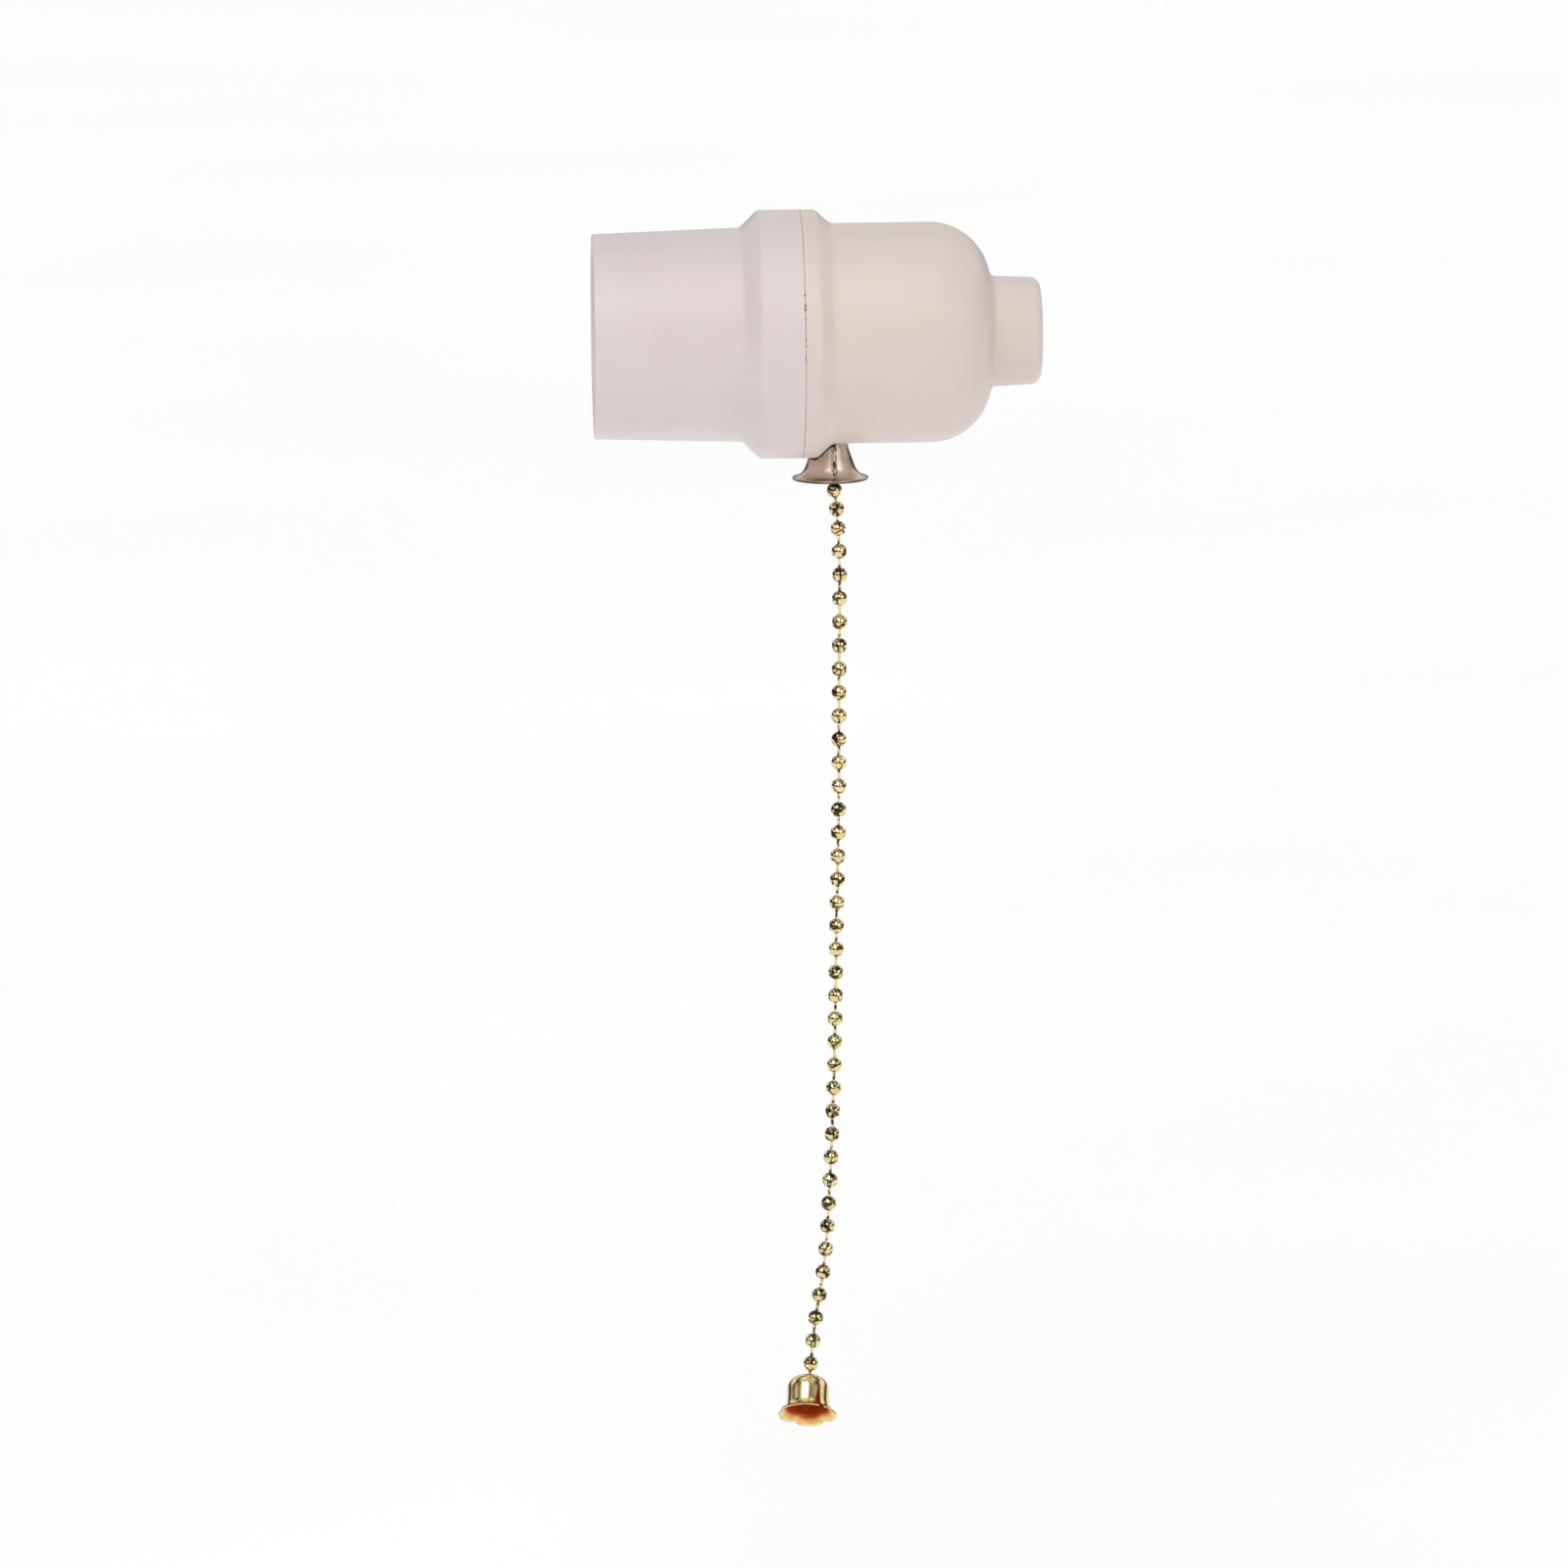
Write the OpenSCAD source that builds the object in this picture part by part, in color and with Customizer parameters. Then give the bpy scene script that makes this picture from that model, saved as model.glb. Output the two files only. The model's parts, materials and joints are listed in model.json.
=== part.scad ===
// Pull-chain lampholder: a screw lampholder whose switch is worked by a ball chain.
// Frame: +X runs along the body from the lamp mouth to the stem neck, the chain hangs along -Z.
// Origin: centre of the neck's end face, on the body axis.

/* [Housing] */
// Length from the lamp mouth to the neck's end face
body_l = 75; // [73:0.5:80]
// Outer diameter of the skirt at the lamp mouth
mouth_d = 34.3; // [33.8:0.1:35.2]
// Inner diameter of the lamp mouth
mouth_bore_d = 30; // [29.4:0.1:30.4]
// Outer diameter of the collar
collar_d = 41.6; // [41.2:0.1:43]
// Outer diameter of the cap
cap_d = 36.9; // [36.7:0.1:37.6]
// Wall thickness of the cap
cap_wall = 1.6; // [1.4:0.05:1.65]
// Outer diameter of the stem neck
neck_d = 18.3; // [17.8:0.1:19.2]
// Width of the gap at the parting line of the two shells
parting_gap = 0.06; // [0.04:0.01:0.15]

/* [Lamp socket] */
// Smallest inner diameter of the screw shell
shell_minor_d = 24.5; // [24.36:0.02:24.66]
// Largest inner diameter of the screw shell
shell_major_d = 26.7; // [26.55:0.05:26.85]
// Pitch of the lamp thread
shell_pitch = 3.629; // [3.6:0.005:3.65]
// Number of full turns of the lamp thread
shell_turns = 5; // [4:1:5]

/* [Stem thread] */
// Diameter of the bore in the neck insert
stem_d = 9; // [8.8:0.05:9.2]
// Length of that bore
stem_l = 11; // [10:0.5:12]

/* [Switch] */
// Distance of the chain line from the neck's end face
chain_dist = 35.4; // [35.2:0.1:35.6]
// Radius of the axle pin
pin_r = 1; // [0.9:0.05:1]
// Radial running clearance on the axle pin
pin_gap = 0.05; // [0.03:0.01:0.08]
// Number of teeth of the ratchet wheel
ratchet_teeth = 6; // [6:1:6]
// Rise of the cam between off and on
cam_rise = 0.9; // [0.8:0.05:0.9]

/* [Chain] */
// Diameter of a chain ball
ball_d = 2.6; // [2.5:0.02:2.62]
// Spacing of the balls along the chain
ball_pitch = 4.012; // [3.998:0.002:4.024]
// Radius of the link wire
wire_r = 0.2; // [0.16:0.01:0.22]
// Cup radius of the pull bell
bell_r = 3.67; // [3.6:0.01:3.75]
// Rim radius of the pull bell
bell_rim_r = 5.15; // [5.05:0.05:5.3]
// Tip of the bell out of the chain's line, in degrees
bell_tip = 37; // [8:1:38]

/* [Hidden] */
$fn = 96;
e = 0.01;
mouth_x = -body_l;
part_x = -40.2;              // parting line of the two shells
cx = -chain_dist;            // chain line
core_r = 16.2;
core_x0 = -47;               // front face of the core
core_xm = -28.5;             // joint of the core's two halves, and the axle
core_x1 = -21;               // back face of the core
axle_z = -0.75;
cap_in_r = cap_d / 2 - cap_wall;
ball_r = ball_d / 2;
top_z = 3.24;                // highest ball, hung on the lever
leaf_z = axle_z + 3.92;      // underside of the contact leaf
arm_z = axle_z + 6.25;       // underside of the fixed contact's arm
shell_w = 0.35;

// ---- helpers -------------------------------------------------------------

// turns a profile of [x, r] points into a body around the X axis
module around_x(pts, fn = 128) {
    rotate([0, 90, 0]) rotate_extrude($fn = fn) polygon([for (p = pts) [p[1], p[0]]]);
}
// cylinder along X from x0 to x1
module cyl_x(x0, x1, r, y = 0, z = 0, fn = 64) {
    translate([x0, y, z]) rotate([0, 90, 0]) cylinder(h = x1 - x0, r = r, $fn = fn);
}
// cylinder along Y from y0 to y1
module cyl_y(y0, y1, r, x = 0, z = 0, fn = 64) {
    translate([x, y0, z]) rotate([-90, 0, 0]) cylinder(h = y1 - y0, r = r, $fn = fn);
}
// box from corner a to corner b
module block(a, b) { translate(a) cube(b - a); }
// points of an arc, centre c, radius r, from angle a to angle b
function arc(c, r, a, b, n = 8) =
    [for (i = [0:n]) let (t = a + (b - a) * i / n) [c[0] + r * cos(t), c[1] + r * sin(t)]];
// extrudes an XZ outline from y0 to y1
module plate_y(y0, y1, pts) {
    translate([0, y1, 0]) rotate([90, 0, 0]) linear_extrude(height = y1 - y0) polygon(pts);
}
// point at radius r and polar angle a about the axle, in XZ
function ax(r, a) = [core_xm + r * cos(a), axle_z + r * sin(a)];

// ---- housing -------------------------------------------------------------

skirt_outer = concat(
    arc([mouth_x + 0.5, mouth_d / 2 - 0.5], 0.5, 180, 90, 4),
    [[-50.95, 17.9]],
    arc([-50.75, 19.1], 1.2, -95, -45, 4),
    arc([-46.83, collar_d / 2 - 1.2], 1.2, 135, 95, 4),
    [[part_x - 6.2, collar_d / 2]],
    arc([part_x - 0.25, collar_d / 2 - 0.25], 0.25, 90, 0, 3));
skirt_inner = [[part_x, 19.25], [part_x - 0.25, 19],
    [-41.75, 19], [-41.95, 18.45], [-42.35, 18.45], [-42.55, 19],
    [-43.25, 19], [-43.45, 18.45], [-43.85, 18.45], [-44.05, 19],
    [-45.6, 19], [-46.6, 17], [core_x0 - 0.05, 17], [core_x0 - 0.05, 15.3],
    [-48.5, mouth_bore_d / 2 - 0.05], [mouth_x + 0.6, mouth_bore_d / 2],
    [mouth_x + 0.2, mouth_bore_d / 2 + 0.12], [mouth_x, mouth_bore_d / 2 + 0.5]];
module skirt_shell() {
    color([0.859, 0.816, 0.812]) around_x(concat(skirt_outer, skirt_inner));
}

dome_r = 10.3;
dome_x = -18.6;
module cap_shell() {
    px = part_x + parting_gap;
    color([0.859, 0.802, 0.775]) difference() {
        around_x(concat(
            // spigot with three thread ridges
            [[-45.2, cap_in_r], [-45.2, 17.9], [-44.9, 18.3]],
            [[-44.7, 18.3], [-44.6, 18.85], [-44.25, 18.85], [-44.1, 18.3]],
            [[-43.2, 18.3], [-43.05, 18.85], [-42.75, 18.85], [-42.6, 18.3]],
            [[-41.7, 18.3], [-41.55, 18.85], [-41.25, 18.85], [-41.1, 18.3]],
            [[px, 18.3]],
            // collar, shoulder, barrel, dome and neck
            arc([px + 0.25, collar_d / 2 - 0.25], 0.25, 180, 90, 3),
            arc([-38.2, collar_d / 2 - 0.9], 0.9, 90, 38, 4),
            arc([-34.45, cap_d / 2 + 1.2], 1.2, 218, 270, 4),
            arc([dome_x, cap_d / 2 - dome_r], dome_r, 90, 10, 16),
            arc([dome_x + dome_r + 0.65, neck_d / 2 + 0.75], 0.7, 180, 262, 5),
            arc([-1.3, neck_d / 2 - 0.15 - 1.3], 1.3, 88, 0, 8),
            // inside
            [[0, 6.45], [-9.9, 6.45], [-9.9, 8.6]],
            arc([dome_x, cap_d / 2 - dome_r], dome_r - cap_wall, 6, 90, 12)));
        // hole for the chain guide
        translate([cx, 0, 0]) rotate_extrude($fn = 96) polygon([[0, -15], [3.25, -15], [3.25, -18.3],
            [3.65, -19.9], [4.05, -21.1], [4.5, -22.2], [0, -22.2]]);
        // hole for the set screw in the neck
        cyl_y(5, 12, 1.65, -4.2, 0, 48);
    }
}

module neck_insert() {
    color([0.80, 0.72, 0.47]) difference() {
        around_x([[-stem_l, stem_d / 2], [-stem_l, 8.2], [-9.95, 8.2], [-9.95, 6.4], [0, 6.4],
            [0, stem_d / 2]]);
        cyl_y(3, 9, 1.5, -4.2, 0, 48);
    }
}

module set_screw() {
    color("gray") difference() {
        cyl_y(4.7, 8.4, 1.45, -4.2, 0, 48);
        block([-6, 7.7, -0.25], [-2, 9, 0.25]);
    }
}

// ---- chain guide: a rolled sheet trumpet with an open seam ---------------

guide_out = concat(
    [[2.95, -10.6], [2.95, -11.02], [2.95, -18.2], [3.05, -18.7], [3.32, -19.9], [3.7, -21],
     [4.12, -22.2], [4.55, -23.1], [5.25, -23.8], [6.1, -24.15]],
    arc([6.28, -24.33], 0.22, 125, -55, 6));
guide_in = [[5.95, -24.5], [5.05, -24.15], [4.25, -23.4], [3.78, -22.35], [3.35, -21.1],
    [2.97, -19.9], [2.7, -18.7], [2.58, -18.1], [2.55, -10.6]];
module chain_guide() {
    color([0.62, 0.56, 0.52]) difference() {
        translate([cx, 0, 0]) union() {
            rotate_extrude($fn = 96) polygon(concat(guide_out, guide_in));
            // lugs bent over inside the core
            intersection() {
                rotate_extrude($fn = 96) polygon([[2.55, -11], [3.9, -11], [3.9, -10.6], [2.55, -10.6]]);
                translate([-1.6, -5, -12]) cube([3.2, 10, 3]);
            }
        }
        // open seam on the front
        block([cx + 0.45, -8, -23.5], [cx + 0.75, -2, -9]);
    }
}

// ---- core ----------------------------------------------------------------

module core_body() {
    color([0.24, 0.15, 0.10]) difference() {
        cyl_x(core_x0, core_xm, core_r, fn = 128);
        // switch chamber, open at the joint of the halves
        block([-43.5, -7.5, -11], [core_xm + 1, 7.5, 8]);
        // way out for the chain guide
        translate([cx, 0, -17]) cylinder(h = 7, r = 3.05);
        // half of the axle's bearing
        cyl_y(-11.7, 11.7, pin_r + 0.02, core_xm, axle_z, 48);
        // pocket for the centre contact
        cyl_x(core_x0 - 1, -45.8, 5.3);
        // rivet and screw holes
        cyl_x(-46, -43, 0.85, 0, -3.6, 32);
        for (y = [-9.5, 9.5]) cyl_x(core_x0 - 1, -39.9, 1.15, y, 0, 32);
        for (s = [-1, 1]) cyl_x(-36.2, core_xm + 1, 1.3, s * 10.5, s * 9, 32);
        // groove for the neutral strip
        block([core_x0 - 1, 7.6, -2.2], [-46.55, 17, 2.2]);
        block([core_x0 - 1, 15.4, -2.2], [core_xm + 1, 17, 2.2]);
    }
}

module core_cover() {
    color([0.27, 0.17, 0.11]) difference() {
        cyl_x(core_xm + 0.02, core_x1, core_r, fn = 128);
        block([core_xm - 1, -7.5, -11], [-23.5, 7.5, 8]);
        cyl_y(-11.7, 11.7, pin_r + 0.02, core_xm, axle_z, 48);
        for (s = [-1, 1]) cyl_x(core_xm - 1, core_x1 + 1, 1.35, s * 10.5, s * 9, 32);
        for (s = [-1, 1]) cyl_x(-26.2, core_x1 + 1, 1.65, s * 11.5, 0, 32);
        // slot for the contact bar
        block([-24, 2.1, arm_z - 0.15], [core_x1 + 1, 5.2, arm_z + 0.65]);
        block([core_xm - 1, 15.4, -2.2], [core_x1 + 1, 17, 2.2]);
    }
}

module slotted_screw_x(x0, x1, r, head_r, head_h, y, z) {
    // shank from x0 to x1, head on the +X side
    difference() {
        union() {
            cyl_x(x0, x1 + e, r, y, z, 32);
            cyl_x(x1, x1 + head_h, head_r, y, z, 48);
        }
        block([x1 + head_h - 0.7, y - head_r - 1, z - 0.3], [x1 + head_h + 1, y + head_r + 1, z + 0.3]);
    }
}

module core_screws() {
    color("silver") for (s = [-1, 1])
        slotted_screw_x(-36, core_x1, 1.25, 2.25, 1.5, s * 10.5, s * 9);
}

module terminal_screws() {
    color([0.80, 0.68, 0.36]) for (s = [-1, 1])
        slotted_screw_x(-26, core_x1 + 0.5, 1.6, 3.1, 2.1, s * 11.5, 0);
}

// ---- lamp socket ---------------------------------------------------------

shell_x0 = -65.5;
function shell_line(o) = [for (i = [0:shell_turns - 1], p = [
    [0, 0], [0.9, 0], [1.2, 0.18], [1.5, 0.62], [1.8, 0.94], [2.05, 1],
    [2.5, 1], [2.75, 0.94], [3.05, 0.62], [3.35, 0.18]])
    [shell_x0 + i * shell_pitch + p[0],
     shell_minor_d / 2 + p[1] * (shell_major_d - shell_minor_d) / 2 + o]];
shell_x1 = shell_x0 + shell_turns * shell_pitch;
module screw_shell() {
    color([0.83, 0.70, 0.42]) difference() {
        around_x(concat(
            [[shell_x0 - 0.9, shell_minor_d / 2 + 0.62], [shell_x0 - 0.5, shell_minor_d / 2 + 0.25]],
            shell_line(0),
            [[shell_x1, shell_minor_d / 2 - 0.05], [core_x0 - 0.42, shell_minor_d / 2 - 0.3],
             [core_x0 - 0.42, 5.8], [core_x0 - 0.02, 5.8],
             [core_x0 - 0.02, shell_minor_d / 2 + 0.05]],
            [for (i = [len(shell_line(0)) - 1:-1:0]) shell_line(shell_w)[i]],
            [[shell_x0 - 0.5, shell_minor_d / 2 + 0.62], [shell_x0 - 0.9, shell_minor_d / 2 + 0.95]]));
        for (y = [-9.5, 9.5]) cyl_x(core_x0 - 2, core_x0 + 1, 1.15, y, 0, 32);
    }
}

module shell_screws() {
    color("silver") for (y = [-9.5, 9.5]) difference() {
        union() {
            cyl_x(core_x0 - 0.42 - 1.1, core_x0 - 0.42, 2.0, y, 0, 48);
            cyl_x(core_x0 - 0.43, -40, 1.1, y, 0, 32);
        }
        block([core_x0 - 2, y - 3, -0.25], [core_x0 - 0.42 - 0.6, y + 3, 0.25]);
    }
}

// tongue of the centre contact, bent up from its foot
module centre_contact() {
    color([0.86, 0.73, 0.42]) difference() {
        plate_y(-2, 2, [[-46.3, -1.9], [-49.95, 1.75], [-49.85, 2.15], [-49.15, 3.1], [-48.8, 2.85],
            [-49.35, 2.05], [-49.42, 1.85], [-45.95, -1.62], [-45.95, -1.9]]);
        for (s = [-1, 1]) translate([-50, s * 2.6, 1]) rotate([s * 8, 0, 0])
            translate([-1, -0.5, -1]) cube([6, 1, 6]);
    }
}

module centre_contact_foot() {
    color([0.86, 0.73, 0.42]) difference() {
        block([-46.25, -2, -5], [-45.8, 2, -1.95]);
        cyl_x(-47, -45, 0.82, 0, -3.6, 32);
    }
}

module centre_rivet() {
    color([0.80, 0.66, 0.38]) union() {
        cyl_x(-46.8, -46.25, 1.35, 0, -3.6, 32);
        cyl_x(-46.26, -43.04, 0.8, 0, -3.6, 32);
        cyl_x(-43.05, -42.5, 1.3, 0, -3.6, 32);
    }
}

module neutral_strip() {
    color([0.84, 0.72, 0.42]) difference() {
        union() {
            block([core_x0, 7.8, -2], [-46.6, 15.9, 2]);
            block([core_x0, 15.5, -2], [core_x1 + 0.4, 15.9, 2]);
            block([core_x1, 7.8, -2], [core_x1 + 0.4, 15.9, 2]);
        }
        cyl_x(core_x0 - 1, -46, 1.15, 9.5, 0, 32);
        cyl_x(core_x1 - 1, core_x1 + 1, 1.65, 11.5, 0, 32);
    }
}

// ---- switch --------------------------------------------------------------

// terminal plate with its contact arm, one stamping
module line_contact_bar() {
    color([0.84, 0.70, 0.40]) difference() {
        union() {
            block([core_x1, -15, -3], [core_x1 + 0.4, -7.8, 3]);
            block([core_x1, -11, 2.9], [core_x1 + 0.4, -7.8, arm_z + 1.45]);
            block([core_x1, -7.9, arm_z - 0.75], [core_x1 + 0.4, 4.9, arm_z + 1.45]);
            block([-30, 2.4, arm_z], [core_x1 + 0.1, 4.9, arm_z + 0.5]);
        }
        cyl_x(core_x1 - 1, core_x1 + 1, 1.65, -11.5, 0, 32);
    }
}

module fixed_contact_point() {
    color([0.85, 0.85, 0.83]) translate([core_xm, 3.65, arm_z - 0.6]) cylinder(h = 0.59, r = 1.05, $fn = 32);
}

module contact_leaf_foot() {
    color([0.80, 0.58, 0.36]) difference() {
        union() {
            block([-43.5, -1.8, -5.6], [-43.1, 1.8, leaf_z - 2.2]);
            block([-43.5, -1.8, leaf_z - 2.3], [-43.1, 4.9, leaf_z + 0.28]);
            block([-43.5, 2.4, leaf_z - 0.02], [-41.35, 4.9, leaf_z + 0.28]);
        }
        cyl_x(-44, -43, 0.82, 0, -3.6, 32);
    }
}

module contact_leaf() {
    color([0.80, 0.58, 0.36]) union() {
        translate([0, 0, leaf_z]) plate_y(2.4, 4.9, [[-41.25, 0], [-29.05, 0], [-28.95, -0.32],
            [-28.72, -0.7], [-28.5, -0.82], [-28.28, -0.7], [-28.05, -0.32], [-27.95, 0],
            [-27.4, 0], [-27.4, 0.26], [-41.25, 0.26]]);
    }
}

module moving_contact_point() {
    color([0.85, 0.85, 0.83]) translate([core_xm, 3.65, leaf_z + 0.27]) cylinder(h = 0.5, r = 1.05, $fn = 32);
}

module axle_pin() { color("silver") cyl_y(-11.5, 11.5, pin_r, core_xm, axle_z, 48); }

module axle_spacer() {
    color([0.84, 0.72, 0.42]) difference() {
        cyl_y(5.25, 7.4, 1.9, core_xm, axle_z, 48);
        cyl_y(5, 8, pin_r + pin_gap, core_xm, axle_z, 48);
    }
}

lever_up = 150;     // polar angle of the lever's arm, chain let go
// point on the lever: r along the arm, n above its centre line
function lev(r, n) = [core_xm + r * cos(lever_up) + n * sin(lever_up),
                      axle_z + r * sin(lever_up) - n * cos(lever_up)];
module pull_lever() {
    color([0.82, 0.70, 0.42]) difference() {
        union() {
            cyl_y(-3.3, -2.5, 3, core_xm, axle_z, 64);
            plate_y(-3.3, -2.5, [lev(1, 2.2), lev(6, 1.5), lev(9.6, 0.4), lev(10, -0.2), lev(10, -1.97),
                lev(5.7, -1.97), lev(1, -2.4)]);
            // fork under the chain's highest ball
            plate_y(-3.3, 1.75, [lev(5.75, -1.47), lev(10, -1.47), lev(10, -1.97), lev(5.75, -1.97)]);
        }
        cyl_y(-4, 0, pin_r + pin_gap, core_xm, axle_z, 48);
        plate_y(-0.45, 0.45, [lev(6.3, 0), lev(11, 0), lev(11, -3), lev(6.3, -3)]);
    }
}

// hook pawl: its root sits on the lever's arm, its nose behind a tooth
module pawl() {
    color([0.70, 0.70, 0.72]) difference() {
        plate_y(-2.48, -1.5, concat(
            [for (a = [143:-7:94]) ax(5.15, a)],
            [ax(5.0, 84), ax(3.45, 85.5), ax(3.6, 88.8), ax(4.45, 88.5)],
            [for (a = [95:7:137]) ax(4.45, a)],
            [ax(4.6, 158), ax(7.2, 156), ax(7.2, 147)]));
        cyl_y(-3, 0, 0.42, lev(6.2, 0.2)[0], lev(6.2, 0.2)[1], 24);
    }
}

module pawl_rivet() {
    color("silver") union() {
        cyl_y(-3.75, -3.31, 0.75, lev(6.2, 0.2)[0], lev(6.2, 0.2)[1], 24);
    }
}

module ratchet_wheel() {
    step = 360 / ratchet_teeth;
    color([0.72, 0.72, 0.74]) difference() {
        plate_y(-2.4, -1.4, [for (i = [0:ratchet_teeth - 1], p = [0:6])
            ax(4.2 - 1.1 * p / 6, 90 + i * step + step * 0.97 * p / 6)]);
        cyl_y(-4, 0, pin_r + pin_gap, core_xm, axle_z, 48);
    }
}

module switch_cam() {
    color([0.20, 0.20, 0.21]) difference() {
        union() {
            cyl_y(-1.38, 2.2, 2.4, core_xm, axle_z, 64);
            plate_y(2.15, 5.15, [for (a = [0:6:354])
                let (d = abs(((a - 30 + 60 + 360) % 120) - 60)) ax(3.9 - cam_rise * d / 60, a)]);
        }
        cyl_y(-3, 7, pin_r + pin_gap, core_xm, axle_z, 48);
    }
}

spring_turns = 5;
spring_n = spring_turns * 14;
function ring(c, t, r, k) = let (u = [cos(t), 0, sin(t)])
    [for (j = [0:k - 1]) c + r * (cos(j * 360 / k) * u + sin(j * 360 / k) * [0, 1, 0])];
module return_spring() {
    k = 8;
    pts = [for (i = [0:spring_n]) let (t = -130 + 360 * spring_turns * i / spring_n)
        each ring([core_xm + 1.75 * cos(t), -6.9 + 3.1 * i / spring_n, axle_z + 1.75 * sin(t)], t, 0.2, k)];
    color("silver") union() {
        polyhedron(points = pts, faces = concat(
            [[for (j = [0:k - 1]) j]],
            [for (i = [0:spring_n - 1], j = [0:k - 1])
                [i * k + j, (i + 1) * k + j, (i + 1) * k + (j + 1) % k, i * k + (j + 1) % k]],
            [[for (j = [k - 1:-1:0]) spring_n * k + j]]));
    }
}

// ---- chain ---------------------------------------------------------------

// side drift of the hanging chain from its straight line, by height
function drift(z) = lookup(z, [[-182, -5.2], [-177, -4.55], [-173, -4.2], [-169, -3.7], [-165, -3],
    [-161, -2.35], [-157, -1.85], [-153, -1.55], [-149, -1.3], [-143, -0.95], [-137, -0.65],
    [-131, -0.4], [-125, -0.15], [-113, 0.15], [-101, 0.4], [-89, 0.75], [-77, 1], [-65, 1.12],
    [-53, 1.28], [-47, 1.38], [-41, 1.43], [-37, 1.38], [-33, 1.25], [-29.7, 1], [-26.5, 0.68],
    [-23, 0.3], [-20, 0], [10, 0]]);
last = 47;
// the balls down to just below the guide stand a little closer, their links partly pushed in
function slack(k) = lookup(k, [[0, 0], [1, 0], [8, 2.36], [9, 3.19], [10, 3.85], [11, ball_pitch]]);
function ball_z(k) = top_z - ball_pitch * k + slack(k);
function ball_at(k) = [cx + drift(ball_z(k)), 0, ball_z(k)];
function unit(v) = v / norm(v);
// turns +Z to the direction v, which lies in the XZ plane
module along(v) { rotate([0, atan2(v[0], v[2]), 0]) children(); }

module ball(k) {
    d = unit(ball_at(min(k + 1, last)) - ball_at(max(k - 1, 0)));
    translate(ball_at(k)) difference() {
        along(d) sphere(r = ball_r, $fn = 48);
        sphere(r = ball_r - 0.25, $fn = 48);
        if (k > 0) along(unit(ball_at(k - 1) - ball_at(k))) cylinder(h = 2, r = 0.45, $fn = 32);
        if (k < last) along(unit(ball_at(k + 1) - ball_at(k))) cylinder(h = 2, r = 0.45, $fn = 32);
    }
}
// double-headed link between balls k and k + 1
module link(k) {
    a = ball_at(k);
    b = ball_at(k + 1);
    l = norm(b - a);
    translate(a) along(unit(b - a)) union() {
        translate([0, 0, 0.6]) sphere(r = 0.55, $fn = 32);
        translate([0, 0, 0.8]) cylinder(h = l - 1.6, r = wire_r, $fn = 24);
        translate([0, 0, l - 0.6]) sphere(r = 0.55, $fn = 32);
    }
}
module balls(a, b) { color([0.86, 0.68, 0.33]) for (k = [a:b]) ball(k); }
module links(a, b) { color([0.82, 0.64, 0.32]) for (k = [a:b]) link(k); }

module chain_top_balls() { balls(0, 7); }
module chain_top_links() { links(0, 6); }
module chain_1_balls() { balls(8, 17); }
module chain_1_links() { links(7, 16); }
module chain_2_balls() { balls(18, 27); }
module chain_2_links() { links(17, 26); }
module chain_3_balls() { balls(28, 37); }
module chain_3_links() { links(27, 36); }
module chain_4_balls() { balls(38, last); }
module chain_4_links() { links(37, last - 1); }

// ---- pull bell: a petalled trumpet hung on the chain's last ball ---------

bell_w = 0.35;
bell_seam = 295;    // polar angle of the seam about the bell's axis
module pull_bell() {
    // [r, z] with the last ball's centre at z = 0
    outer = concat(
        [[1.2, 1.63]],
        arc([bell_r - 2.55, -0.9], 2.55, 85, 0, 10),
        [[bell_r, -3.7], [bell_r + 0.11, -4.1], [bell_r + 0.43, -4.6], [bell_r + 0.93, -5],
         [bell_rim_r - 0.15, -5.25]],
        arc([bell_rim_r - 0.17, -5.42], 0.17, 70, -110, 5));
    inner = concat(
        [[bell_rim_r - 0.7, -5.33], [bell_r + 0.28, -4.98], [bell_r - 0.12, -4.45],
         [bell_r - 0.27, -3.9], [bell_r - bell_w, -3.5]],
        arc([bell_r - 2.55, -0.9], 2.55 - bell_w, 0, 60, 8),
        // seat on the ball
        [[1.25, 1], [0.95, 1.06]]);
    color([0.84, 0.62, 0.26])
    translate(ball_at(last)) rotate([0, 4.5, 0]) rotate([-bell_tip, 0, 0]) difference() {
        rotate_extrude($fn = 96) polygon(concat(outer, inner));
        // notches between the five petals
        for (i = [0:4]) rotate([0, 0, 44 + 72 * i]) translate([bell_rim_r + 0.35, 0, -7])
            cylinder(h = 3, r = 0.9, $fn = 32);
        // slot that lets the chain lean
        rotate([0, 0, bell_seam - 14]) translate([0, 0, 0.7]) union() {
            translate([0, -0.5, 0]) cube([1.2, 1, 2]);
            translate([1.2, 0, 0]) cylinder(h = 2, r = 0.5, $fn = 32);
        }
        // open seam from the slot to the rim, where it widens
        rotate([0, 0, bell_seam]) rotate([90, 0, 90]) linear_extrude(height = 8)
            polygon([[-0.42, -6], [0.42, -6], [0.3, -4], [0.07, -2.2], [0.07, 2.2], [-0.07, 2.2],
                [-0.07, -2.2], [-0.3, -4]]);
    }
}

// --------------------------------------------------------------------------

skirt_shell();
cap_shell();
neck_insert();
set_screw();
chain_guide();
core_body();
core_cover();
core_screws();
screw_shell();
shell_screws();
centre_contact();
centre_contact_foot();
centre_rivet();
neutral_strip();
line_contact_bar();
terminal_screws();
fixed_contact_point();
contact_leaf_foot();
contact_leaf();
moving_contact_point();
axle_pin();
axle_spacer();
pull_lever();
pawl();
pawl_rivet();
ratchet_wheel();
switch_cam();
return_spring();
chain_top_balls();
chain_top_links();
chain_1_balls();
chain_1_links();
chain_2_balls();
chain_2_links();
chain_3_balls();
chain_3_links();
chain_4_balls();
chain_4_links();
pull_bell();
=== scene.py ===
"""Pull-chain lampholder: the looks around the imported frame. Lengths in the helpers are millimetres."""
import bpy
import json
import math
import numpy as np
from mathutils import Matrix, Vector


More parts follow.
